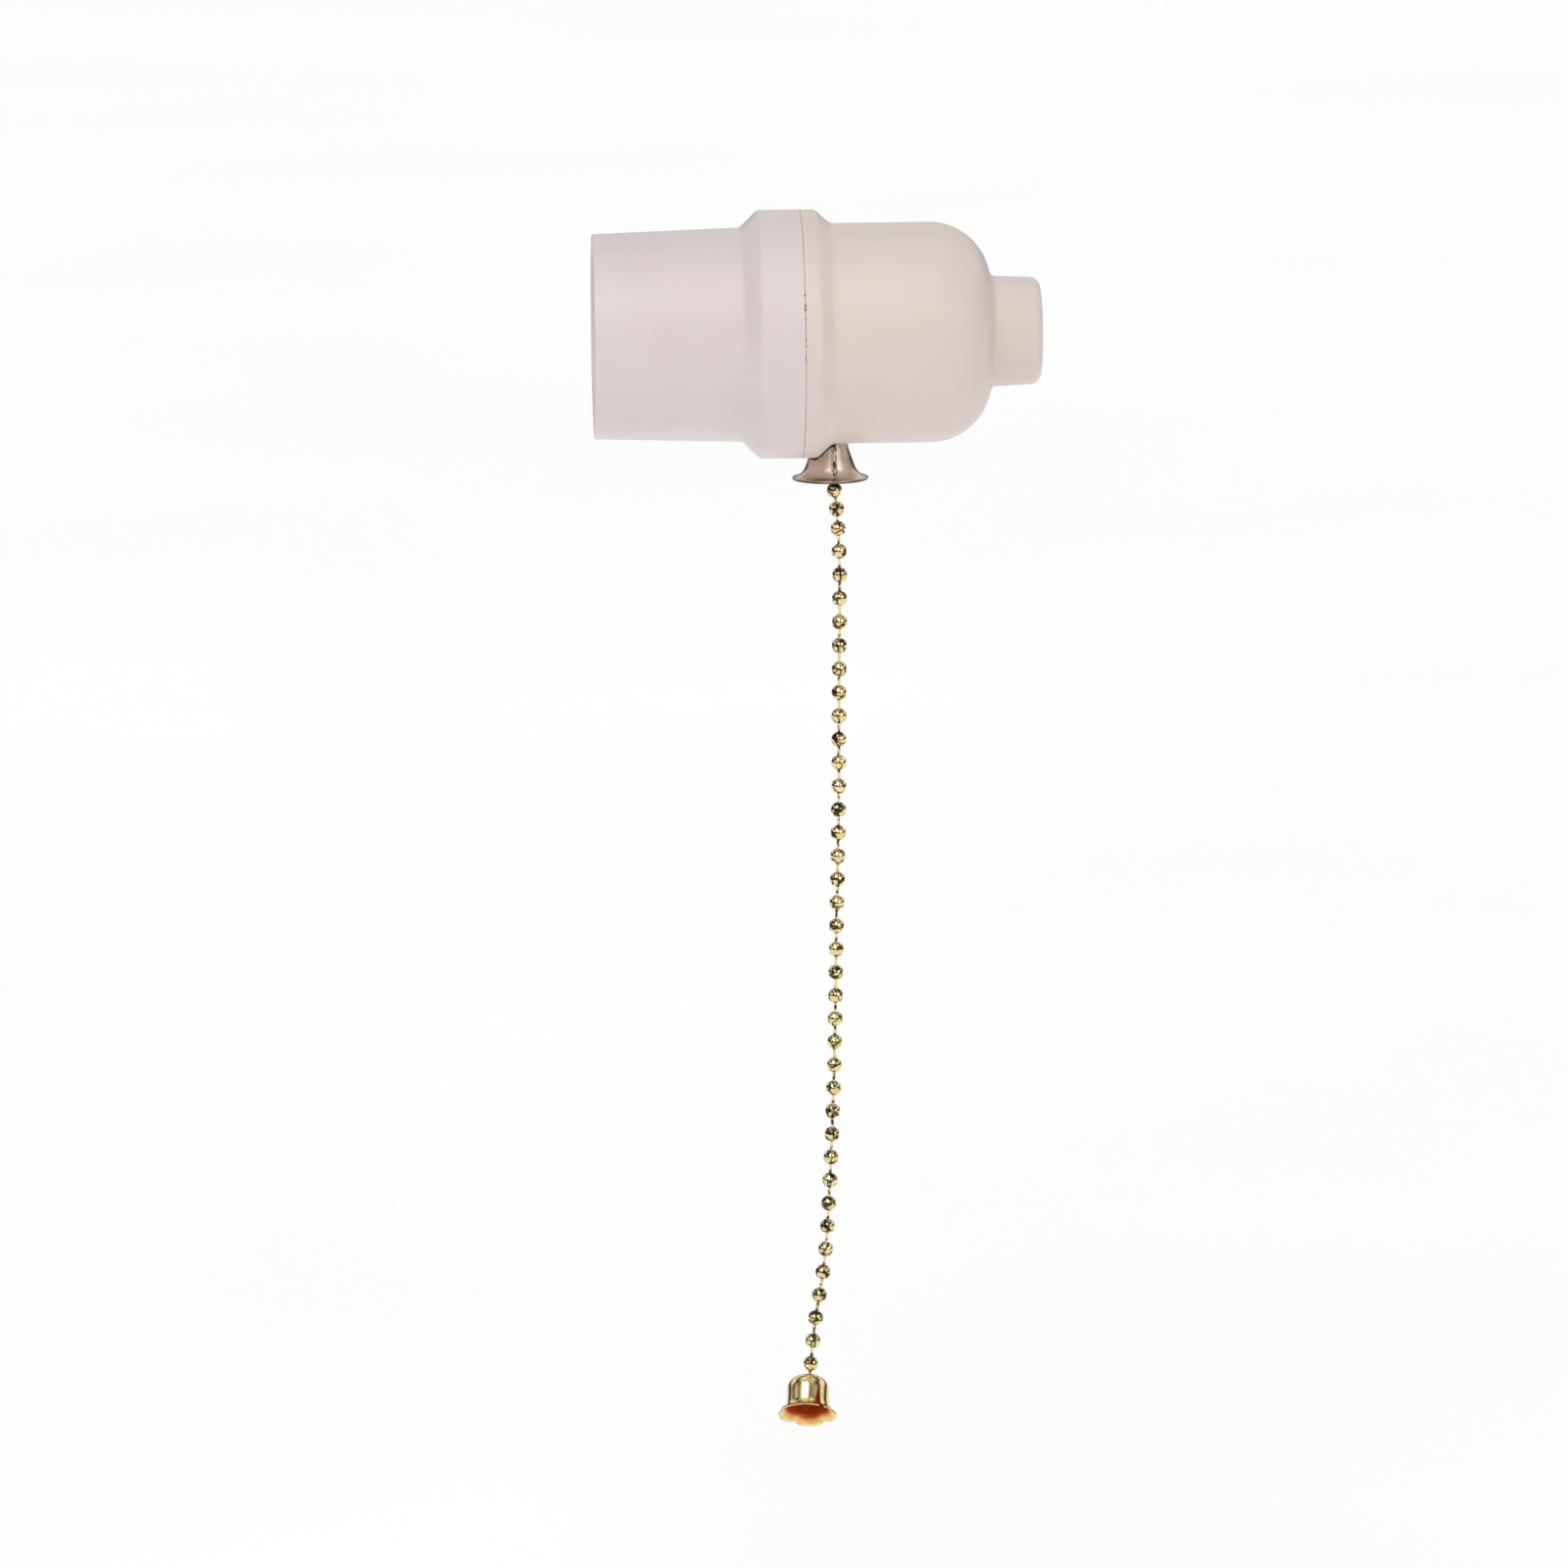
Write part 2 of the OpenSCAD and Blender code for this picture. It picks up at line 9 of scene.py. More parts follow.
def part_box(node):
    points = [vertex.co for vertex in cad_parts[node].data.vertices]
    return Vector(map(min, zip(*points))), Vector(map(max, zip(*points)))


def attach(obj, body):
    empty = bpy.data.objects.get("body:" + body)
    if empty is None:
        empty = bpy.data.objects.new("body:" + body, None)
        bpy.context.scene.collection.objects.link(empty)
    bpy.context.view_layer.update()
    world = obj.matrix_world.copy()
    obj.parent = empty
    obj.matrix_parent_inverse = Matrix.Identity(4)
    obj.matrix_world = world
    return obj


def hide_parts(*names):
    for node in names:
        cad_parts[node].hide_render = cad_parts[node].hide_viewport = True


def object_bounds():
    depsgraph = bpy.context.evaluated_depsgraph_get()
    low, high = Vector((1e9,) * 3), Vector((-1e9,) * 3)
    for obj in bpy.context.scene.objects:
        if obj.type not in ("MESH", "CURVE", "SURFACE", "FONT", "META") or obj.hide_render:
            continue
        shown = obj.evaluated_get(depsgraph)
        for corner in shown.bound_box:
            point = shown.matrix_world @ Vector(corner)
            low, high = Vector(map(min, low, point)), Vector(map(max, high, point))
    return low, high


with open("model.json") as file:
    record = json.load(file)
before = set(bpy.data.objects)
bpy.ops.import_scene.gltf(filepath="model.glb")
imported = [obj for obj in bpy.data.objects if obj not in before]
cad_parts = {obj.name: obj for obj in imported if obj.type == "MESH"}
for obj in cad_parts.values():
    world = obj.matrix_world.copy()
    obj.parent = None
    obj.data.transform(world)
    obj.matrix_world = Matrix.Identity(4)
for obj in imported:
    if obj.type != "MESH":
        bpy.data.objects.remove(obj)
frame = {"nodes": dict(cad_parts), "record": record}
cad_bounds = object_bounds()
MM = 0.001
lo0, hi0 = Vector(cad_bounds[0]), Vector(cad_bounds[1])
neck_lo, neck_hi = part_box("neck_insert")
skirt_lo, skirt_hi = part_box("skirt_shell")
cap_lo, cap_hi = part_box("cap_shell")
guide_lo, guide_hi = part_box("chain_guide")
CX = (guide_lo.x + guide_hi.x) / 2 / MM          # chain line


# ---- camera ---------------------------------------------------------------

def make_camera():
    az, el, roll = math.radians(-2.42), math.radians(10.0), math.radians(-0.54)
    dist = 1.4
    target = Vector((neck_hi.x - 0.04367, 0.0, neck_hi.z - 0.0082 - 0.07648))
    back = Vector((math.sin(az) * math.cos(el), -math.cos(az) * math.cos(el), math.sin(el)))
    right = Vector((math.cos(az), math.sin(az), 0.0))
    up = back.cross(right)
    c, s = math.cos(roll), math.sin(roll)
    right, up = c * right + s * up, -s * right + c * up
    data = bpy.data.cameras.new("camera")
    data.sensor_width = 36.0
    data.lens = 8449.0 / 1600.0 * 36.0
    data.clip_start = 0.01
    data.clip_end = 100.0
    cam = bpy.data.objects.new("camera", data)
    bpy.context.scene.collection.objects.link(cam)
    m = Matrix.Identity(4)
    pos = target + dist * back
    for i in range(3):
        m[i][0], m[i][1], m[i][2], m[i][3] = right[i], up[i], back[i], pos[i]
    cam.matrix_world = m
    bpy.context.scene.camera = cam


make_camera()


# ---- mesh helpers -----------------------------------------------------------

def new_mesh(name, verts, faces, angle=32.0, mats=None, face_mats=None):
    """A smooth-shaded mesh object from points in millimetres."""
    me = bpy.data.meshes.new(name)
    v = (np.asarray(verts, float) * MM).tolist()
    me.from_pydata(v, [], [tuple(int(i) for i in f) for f in faces])
    me.validate()
    for m in mats or []:
        me.materials.append(m)
    if face_mats is not None:
        me.polygons.foreach_set("material_index", np.asarray(face_mats, np.int32))
    me.update()
    ob = bpy.data.objects.new(name, me)
    bpy.context.scene.collection.objects.link(ob)
    import bmesh
    bm = bmesh.new()
    bm.from_mesh(me)
    bmesh.ops.remove_doubles(bm, verts=bm.verts, dist=1e-8)
    bmesh.ops.recalc_face_normals(bm, faces=bm.faces)
    bm.to_mesh(me)
    bm.free()
    me.shade_smooth()
    me.set_sharp_from_angle(angle=math.radians(angle))
    return ob


def cut(ob, cutters, angle=32.0):
    """Takes the cutters away from ob and applies it."""
    for c in cutters:
        m = ob.modifiers.new("cut", "BOOLEAN")
        m.operation = "DIFFERENCE"
        m.solver = "EXACT"
        m.object = c
    bpy.context.view_layer.update()
    dg = bpy.context.evaluated_depsgraph_get()
    me = bpy.data.meshes.new_from_object(ob.evaluated_get(dg))
    ob.modifiers.clear()
    old = ob.data
    ob.data = me
    bpy.data.meshes.remove(old)
    for c in cutters:
        bpy.data.objects.remove(c)
    me.shade_smooth()
    me.set_sharp_from_angle(angle=math.radians(angle))
    return ob


def arc(c, r, a, b, n=8):
    return [(c[0] + r * math.cos(math.radians(a + (b - a) * i / n)),
             c[1] + r * math.sin(math.radians(a + (b - a) * i / n))) for i in range(n + 1)]


def finer(pts, step):
    """Adds points along straight stretches, no further apart than step."""
    out = [pts[0]]
    for p, q in zip(pts, pts[1:]):
        d = math.dist(p, q)
        k = max(1, int(math.ceil(d / step)))
        out += [(p[0] + (q[0] - p[0]) * i / k, p[1] + (q[1] - p[1]) * i / k) for i in range(1, k + 1)]
    return out


def frame_from(direction):
    d = np.asarray(direction, float)
    d = d / np.linalg.norm(d)
    a = np.array([0.0, 1.0, 0.0]) if abs(d[1]) < 0.9 else np.array([1.0, 0.0, 0.0])
    u = np.cross(a, d)
    u /= np.linalg.norm(u)
    v = np.cross(d, u)
    return u, v, d


def revolve(profile, n, origin=(0, 0, 0), axis=(1, 0, 0), close=True, spin=0.0):
    """Turns [(distance along the axis, radius)] about the axis. Returns verts and faces."""
    u, v, d = frame_from(axis)
    o = np.asarray(origin, float)
    verts, faces = [], []
    rows = []
    for s, r in profile:
        if r < 1e-6:
            rows.append([len(verts)])
            verts.append(o + s * d)
        else:
            rows.append(list(range(len(verts), len(verts) + n)))
            for j in range(n):
                t = 2 * math.pi * j / n + spin
                verts.append(o + s * d + r * (math.cos(t) * u + math.sin(t) * v))
    m = len(rows)
    for i in range(m if close else m - 1):
        a, b = rows[i], rows[(i + 1) % m]
        if len(a) == 1 and len(b) == 1:
            continue
        for j in range(n):
            k = (j + 1) % n
            if len(a) == 1:
                faces.append((a[0], b[j], b[k]))
            elif len(b) == 1:
                faces.append((a[j], b[0], a[k]))
            else:
                faces.append((a[j], b[j], b[k], a[k]))
    return verts, faces


def join(parts):
    verts, faces = [], []
    for v, f in parts:
        o = len(verts)
        verts += list(v)
        faces += [tuple(i + o for i in q) for q in f]
    return verts, faces


# ---- materials --------------------------------------------------------------

def srgb(c):
    return tuple(((x / 12.92) if x <= 0.04045 else ((x + 0.055) / 1.055) ** 2.4) for x in c)


class Mat:
    """Small builder for one procedural material."""

    def __init__(self, name):
        self.m = bpy.data.materials.new(name)
        self.m.use_nodes = True
        self.t = self.m.node_tree
        self.n = self.t.nodes
        self.bsdf = next(x for x in self.n if x.type == "BSDF_PRINCIPLED")
        self.co = self.n.new("ShaderNodeTexCoord").outputs["Object"]

    def link(self, a, b):
        self.t.links.new(a, b)
        return self

    def stretch(self, scale):
        m = self.n.new("ShaderNodeMapping")
        m.inputs["Scale"].default_value = scale
        self.link(self.co, m.inputs["Vector"])
        return m.outputs["Vector"]

    def noise(self, scale, detail=3.0, rough=0.5, vec=None, w=None):
        x = self.n.new("ShaderNodeTexNoise")
        x.inputs["Scale"].default_value = scale
        x.inputs["Detail"].default_value = detail
        x.inputs["Roughness"].default_value = rough
        self.link(vec or self.co, x.inputs["Vector"])
        return x.outputs["Fac"]

    def ramp(self, fac, lo, hi, a=0.0, b=1.0):
        x = self.n.new("ShaderNodeMapRange")
        x.inputs["From Min"].default_value = lo
        x.inputs["From Max"].default_value = hi
        x.inputs["To Min"].default_value = a
        x.inputs["To Max"].default_value = b
        self.link(fac, x.inputs["Value"])
        return x.outputs["Result"]

    def math(self, op, a, b=None, c=None):
        x = self.n.new("ShaderNodeMath")
        x.operation = op
        for i, val in enumerate((a, b, c)):
            if val is None:
                continue
            if isinstance(val, (int, float)):
                x.inputs[i].default_value = val
            else:
                self.link(val, x.inputs[i])
        return x.outputs[0]

    def mix(self, fac, a, b):
        x = self.n.new("ShaderNodeMix")
        x.data_type = "RGBA"
        ins = [i for i in x.inputs if i.enabled]
        by = {}
        for i in x.inputs:
            by.setdefault(i.name, []).append(i)
        fa = by["Factor"][0]
        ca = [i for i in by["A"] if i.type == "RGBA"][0]
        cb = [i for i in by["B"] if i.type == "RGBA"][0]
        if isinstance(fac, (int, float)):
            fa.default_value = fac
        else:
            self.link(fac, fa)
        for val, sock in ((a, ca), (b, cb)):
            if isinstance(val, tuple):
                sock.default_value = (*val[:3], 1.0)
            else:
                self.link(val, sock)
        return [o for o in x.outputs if o.type == "RGBA"][0]

    def axis(self, i):
        x = self.n.new("ShaderNodeSeparateXYZ")
        self.link(self.co, x.inputs[0])
        return x.outputs[i]

    def bump(self, height, strength, dist, normal=None):
        x = self.n.new("ShaderNodeBump")
        x.inputs["Strength"].default_value = strength
        x.inputs["Distance"].default_value = dist
        self.link(height, x.inputs["Height"])
        if normal is not None:
            self.link(normal, x.inputs["Normal"])
        return x.outputs["Normal"]

    def out(self, color=None, rough=None, normal=None, **consts):
        if color is not None:
            self.link(color, self.bsdf.inputs["Base Color"])
        if rough is not None:
            self.link(rough, self.bsdf.inputs["Roughness"])
        if normal is not None:
            self.link(normal, self.bsdf.inputs["Normal"])
        for k, val in consts.items():
            self.bsdf.inputs[k.replace("_", " ")].default_value = val
        return self.m


def plastic_shell(name, col, col2, seam=True):
    m = Mat(name)
    base, alt = srgb(col), srgb(col2)
    big = m.ramp(m.noise(38.0, 2.0), 0.35, 0.65)
    c = m.mix(big, base, alt)
    fine = m.ramp(m.noise(2600.0, 2.0), 0.62, 0.74, 0.0, 0.12)
    c = m.mix(fine, c, srgb(tuple(x * 0.86 for x in col)))
    if seam:
        # the fine joint of the two shells carries a little brown dust and a few tiny chips
        dx = m.math("ABSOLUTE", m.math("SUBTRACT", m.axis(0), -0.0402))
        near = m.ramp(dx, 0.00003, 0.00011, 1.0, 0.0)
        dust = m.ramp(m.noise(900.0, 3.0), 0.44, 0.64, 0.15, 1.0)
        c = m.mix(m.math("MULTIPLY", near, m.math("MULTIPLY", dust, 0.5)), c, srgb((0.64, 0.53, 0.46)))
        part = m.ramp(m.axis(2), -0.003, -0.001, 0.0, 1.0)
        front = m.math("MULTIPLY", part, m.ramp(m.axis(1), -0.016, -0.018, 0.0, 1.0))
        chip = m.math("MULTIPLY", m.ramp(dx, 0.00010, 0.00022, 1.0, 0.0), m.ramp(m.noise(1300.0, 2.0), 0.56, 0.62, 0.0, 0.9))
        c = m.mix(m.math("MULTIPLY", chip, front), c, srgb((0.30, 0.24, 0.21)))
    rough = m.ramp(m.noise(160.0, 3.0), 0.3, 0.7, 0.36, 0.46)
    n1 = m.bump(m.noise(1400.0, 2.0), 0.05, 0.00006)
    n2 = m.bump(m.noise(90.0, 2.0), 0.12, 0.0004, n1)
    return m.out(c, rough, n2, IOR=1.5, Subsurface_Weight=0.06, Subsurface_Scale=0.0015)


def metal(name, col, col2, r0, r1, scratch=0.25, tone=180.0, spots=None, extra=None, metallic=1.0):
    m = Mat(name)
    c = m.mix(m.ramp(m.noise(tone, 4.0), 0.35, 0.68), srgb(col), srgb(col2))
    if spots:
        c = m.mix(m.ramp(m.noise(1100.0, 2.0), 0.64, 0.72, 0.0, 0.6), c, srgb(spots))
    if extra:
        c = extra(m, c)
    rough = m.ramp(m.noise(420.0, 4.0), 0.3, 0.72, r0, r1)
    lines = m.noise(900.0, 3.0, vec=m.stretch((1.0, 1.0, 9.0)))
    n1 = m.bump(lines, scratch, 0.00002)
    n2 = m.bump(m.noise(260.0, 2.0), 0.08, 0.0002, n1)
    return m.out(c, rough, n2, Metallic=metallic)


def moulded(name, col, col2, r0, r1):
    m = Mat(name)
    c = m.mix(m.ramp(m.noise(700.0, 4.0), 0.38, 0.66), srgb(col), srgb(col2))
    rough = m.ramp(m.noise(300.0, 3.0), 0.3, 0.7, r0, r1)
    return m.out(c, rough, m.bump(m.noise(1500.0, 3.0), 0.25, 0.00005), IOR=1.5)


M = {}
M["skirt_plastic"] = plastic_shell("skirt_plastic", (0.872, 0.829, 0.830), (0.858, 0.814, 0.813))
M["cap_plastic"] = plastic_shell("cap_plastic", (0.876, 0.820, 0.796), (0.859, 0.803, 0.780))


def painted_guide_shade(m, c):
    # Painted shade on the guide: the rolled rim's lower edge, a dark line along the open seam, and a contact shadow
    # under the shell's edge.
    z = m.axis(2)
    shade_colour = srgb((0.16, 0.10, 0.08))
    # painted shade darkens the rolled rim's lower edge
    c = m.mix(m.ramp(z, -0.02435, -0.0241, 0.8, 0.0), c, shade_colour)
    x, y = m.axis(0), m.axis(1)
    front = m.ramp(y, -0.0015, -0.0022, 0.0, 1.0)
    # painted shade along the open seam, standing for the dark inside of the trumpet, broken into dots by noise
    dx = m.math("ABSOLUTE", m.math("SUBTRACT", x, CX * MM + 0.0006))
    near = m.ramp(dx, 0.00020, 0.00042, 1.0, 0.0)
    long = m.ramp(z, -0.0238, -0.0234, 0.0, 1.0)
    dotted = m.ramp(m.noise(2100.0, 2.0), 0.40, 0.56, 0.35, 1.0)
    c = m.mix(m.math("MULTIPLY", m.math("MULTIPLY", near, long), m.math("MULTIPLY", front, dotted)), c, shade_colour)
    # and a painted contact shadow where the guide leaves the shell
    edge = m.ramp(x, CX * MM - 0.0026, CX * MM - 0.0001, -0.02085, -0.01865)
    dz = m.math("SUBTRACT", z, edge)
    left = m.ramp(x, CX * MM + 0.0002, CX * MM + 0.0012, 0.85, 0.1)
    c = m.mix(m.math("MULTIPLY", m.ramp(dz, -0.00032, -0.00012, 0.0, 1.0), left), c, shade_colour)
    return c


M["nickel"] = metal("nickel", (0.87, 0.80, 0.735), (0.80, 0.72, 0.65), 0.20, 0.32, 0.2, 240.0, (0.52, 0.40, 0.32), painted_guide_shade)


def tarnish(scale, width, amount, brown):
    """Thin wandering lines where the lacquer has worn and the brass has gone brown."""
    def extra(m, c):
        v = m.math("ABSOLUTE", m.math("SUBTRACT", m.noise(scale, 1.0), 0.5))
        return m.mix(m.ramp(v, width * 0.3, width, amount, 0.0), c, srgb(brown))
    return extra


M["chain_brass"] = metal("chain_brass", (0.94, 0.87, 0.68), (0.89, 0.80, 0.58), 0.05, 0.11, 0.10, 300.0,
                         extra=tarnish(600.0, 0.075, 0.96, (0.17, 0.12, 0.05)))
M["bell_brass"] = metal("bell_brass", (0.96, 0.87, 0.66), (0.93, 0.82, 0.57), 0.15, 0.22, 0.12, 220.0,
                        extra=tarnish(230.0, 0.07, 0.25, (0.55, 0.43, 0.22)))
INNER = [(0.84, 0.41, 0.15), (0.72, 0.31, 0.09)]
GOLD = [(0.94, 0.84, 0.58), (0.88, 0.74, 0.44)]
for k, t in enumerate((0.0, 0.4, 0.7, 0.9)):
    ca, cb = [tuple(a * (1 - t) + b * t for a, b in zip(i, g)) for i, g in zip(INNER, GOLD)]
    name = "bell_inside" if k == 0 else "bell_inside_%d" % k
    M[name] = metal(name, ca, cb, 0.22, 0.34, 0.2, 320.0, metallic=0.30 + 0.7 * t)
M["bell_edge"] = metal("bell_edge", (0.40, 0.29, 0.16), (0.28, 0.19, 0.10), 0.25, 0.4, 0.2, 600.0)
M["brass"] = metal("brass", (0.87, 0.74, 0.46), (0.80, 0.66, 0.38), 0.22, 0.34, 0.25, 120.0, (0.58, 0.44, 0.24))
M["bronze"] = metal("bronze", (0.80, 0.60, 0.42), (0.72, 0.50, 0.32), 0.25, 0.36)
M["zinc_steel"] = metal("zinc_steel", (0.78, 0.78, 0.76), (0.68, 0.68, 0.67), 0.24, 0.38, 0.3, 300.0)
M["spring_steel"] = metal("spring_steel", (0.70, 0.70, 0.71), (0.60, 0.60, 0.61), 0.18, 0.3)
M["silver"] = metal("silver", (0.90, 0.89, 0.87), (0.82, 0.81, 0.79), 0.2, 0.3)
M["phenolic"] = moulded("phenolic", (0.27, 0.175, 0.125), (0.20, 0.125, 0.085), 0.34, 0.5)
M["black_plastic"] = moulded("black_plastic", (0.11, 0.11, 0.115), (0.08, 0.08, 0.085), 0.36, 0.5)

slots = {p["node"]: p["material_slot"] for p in frame["record"]["subparts"]}
for name, ob in frame["nodes"].items():
    ob.data.materials.clear()
    ob.data.materials.append(M[slots[name]])


def place(ob, body, slot, *nodes):
    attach(ob, body)
    if nodes:
        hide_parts(*nodes)
    return ob


# ---- chain: the route is the one in the CAD source ----------------------------

DRIFT = [(-182, -5.2), (-177, -4.55), (-173, -4.2), (-169, -3.7), (-165, -3), (-161, -2.35), (-157, -1.85),
         (-153, -1.55), (-149, -1.3), (-143, -0.95), (-137, -0.65), (-131, -0.4), (-125, -0.15), (-113, 0.15),
         (-101, 0.4), (-89, 0.75), (-77, 1), (-65, 1.12), (-53, 1.28), (-47, 1.38), (-41, 1.43), (-37, 1.38),
         (-33, 1.25), (-29.7, 1.0), (-26.5, 0.68), (-23, 0.3), (-20, 0), (10, 0)]
TOP_Z, PITCH, LAST = 3.24, 4.012, 47
BALL_R = 1.3


def ball_at(k):
    # down to just below the guide the balls stand a little closer
    z = TOP_Z - PITCH * k + np.interp(k, [0, 1, 8, 9, 10, 11], [0, 0, 2.36, 3.19, 3.85, PITCH])
    return np.array([CX + np.interp(z, [p[0] for p in DRIFT], [p[1] for p in DRIFT]), 0.0, z])


def unit(v):
    return v / np.linalg.norm(v)


def ball_dir(k):
    return unit(ball_at(min(k + 1, LAST)) - ball_at(max(k - 1, 0)))


def ball_mesh(k):
    """A rolled ball: two pole holes with turned-in lips and the closed seam of its strip."""
    o, d = ball_at(k), ball_dir(k)
    u, v, w = frame_from(d)
    a0 = math.degrees(math.asin(0.45 / BALL_R))
    angs = [0, 1.1, 2.6, 6] + [6 + (348.0 / 28) * i for i in range(1, 28)] + [354, 357.4, 358.9]
    # (height along the chain, radius, share of the seam's depth)
    lip = [(0.98, 0.0, 0), (0.98, 0.22, 0), (0.99, 0.36, 0), (1.06, 0.40, 0), (1.14, 0.405, 0), (1.195, 0.43, 0)]
    prof = list(lip)
    prof.append((1.288 * math.cos(math.radians(a0 + 2)), 1.288 * math.sin(math.radians(a0 + 2)), 0.4))
    n = 16
    for i in range(n + 1):
        a = math.radians(a0 + 5 + (170 - 2 * a0) * i / n)
        prof.append((BALL_R * math.cos(a), BALL_R * math.sin(a), 1.0))
    prof.append((-prof[6][0], prof[6][1], 0.4))
    prof += [(-z, r, q) for z, r, q in reversed(lip)]
    verts, faces, rows, m = [], [], [], len(angs)
    spin = math.radians((k * 137.5) % 360)
    for z, r, seam in prof:
        if r == 0.0:
            rows.append([len(verts)])
            verts.append(o + z * w)
            continue
        rows.append(list(range(len(verts), len(verts) + m)))
        for t in angs:
            tt = min(t, 360 - t)
            f = 1 - seam * 0.035 * max(0.0, 1 - tt / 2.6)
            ct, st = math.cos(math.radians(t) + spin), math.sin(math.radians(t) + spin)
            verts.append(o + f * (z * w + r * (ct * u + st * v)))
    for a, b in zip(rows, rows[1:]):
        for j in range(m):
            i = (j + 1) % m
            if len(a) == 1:
                faces.append((a[0], b[j], b[i]))
            elif len(b) == 1:
                faces.append((a[j], b[0], a[i]))
            else:
                faces.append((a[j], b[j], b[i], a[i]))
    return verts, faces


def link_mesh(k):
    """The wire between two balls, thickened where it enters their lips."""
    a, b = ball_at(k), ball_at(k + 1)
    l = float(np.linalg.norm(b - a))
    head = [(0.93, 0.0), (0.93, 0.33), (1.03, 0.335), (1.12, 0.31), (1.2, 0.272)]
    prof = head + [(1.32, 0.258), (1.32 + (l / 2 - 1.32) * 0.5, 0.252), (l / 2, 0.25),
                   (l - 1.32 - (l / 2 - 1.32) * 0.5, 0.252), (l - 1.32, 0.258)] \
        + [(l - s, r) for s, r in reversed(head)]
    return revolve(prof, 20, a, b - a, close=False)


def chain_run(name, body, b0, b1, l0, l1, nodes):
    """Balls b0..b1 and links l0..l1 in one mesh; the points along its middle are worked out but not used."""
    ob = new_mesh(name, *join([ball_mesh(k) for k in range(b0, b1 + 1)] + [link_mesh(k) for k in range(l0, l1 + 1)]),
                  angle=40, mats=[M["chain_brass"]])
    place(ob, body, "chain_brass", *nodes)
    start = ball_at(l0) + 0.92 * unit(ball_at(l0 + 1) - ball_at(l0))
    pts = [start]
    for k in range(b0, b1 + 1):
        pts += [(ball_at(k) + ball_at(k - 1)) / 2, ball_at(k)]
    pts.append(ball_at(b1) + 1.25 * ball_dir(b1))
    return ob


# ---- pull bell ------------------------------------------------------------------

def along_profile(pts, t):
    """Point at share t of a polyline's length."""
    d = [0.0]
    for p, q in zip(pts, pts[1:]):
        d.append(d[-1] + math.dist(p, q))
    x = np.interp(t * d[-1], d, [p[0] for p in pts])
    y = np.interp(t * d[-1], d, [p[1] for p in pts])
    return np.array([x, y])


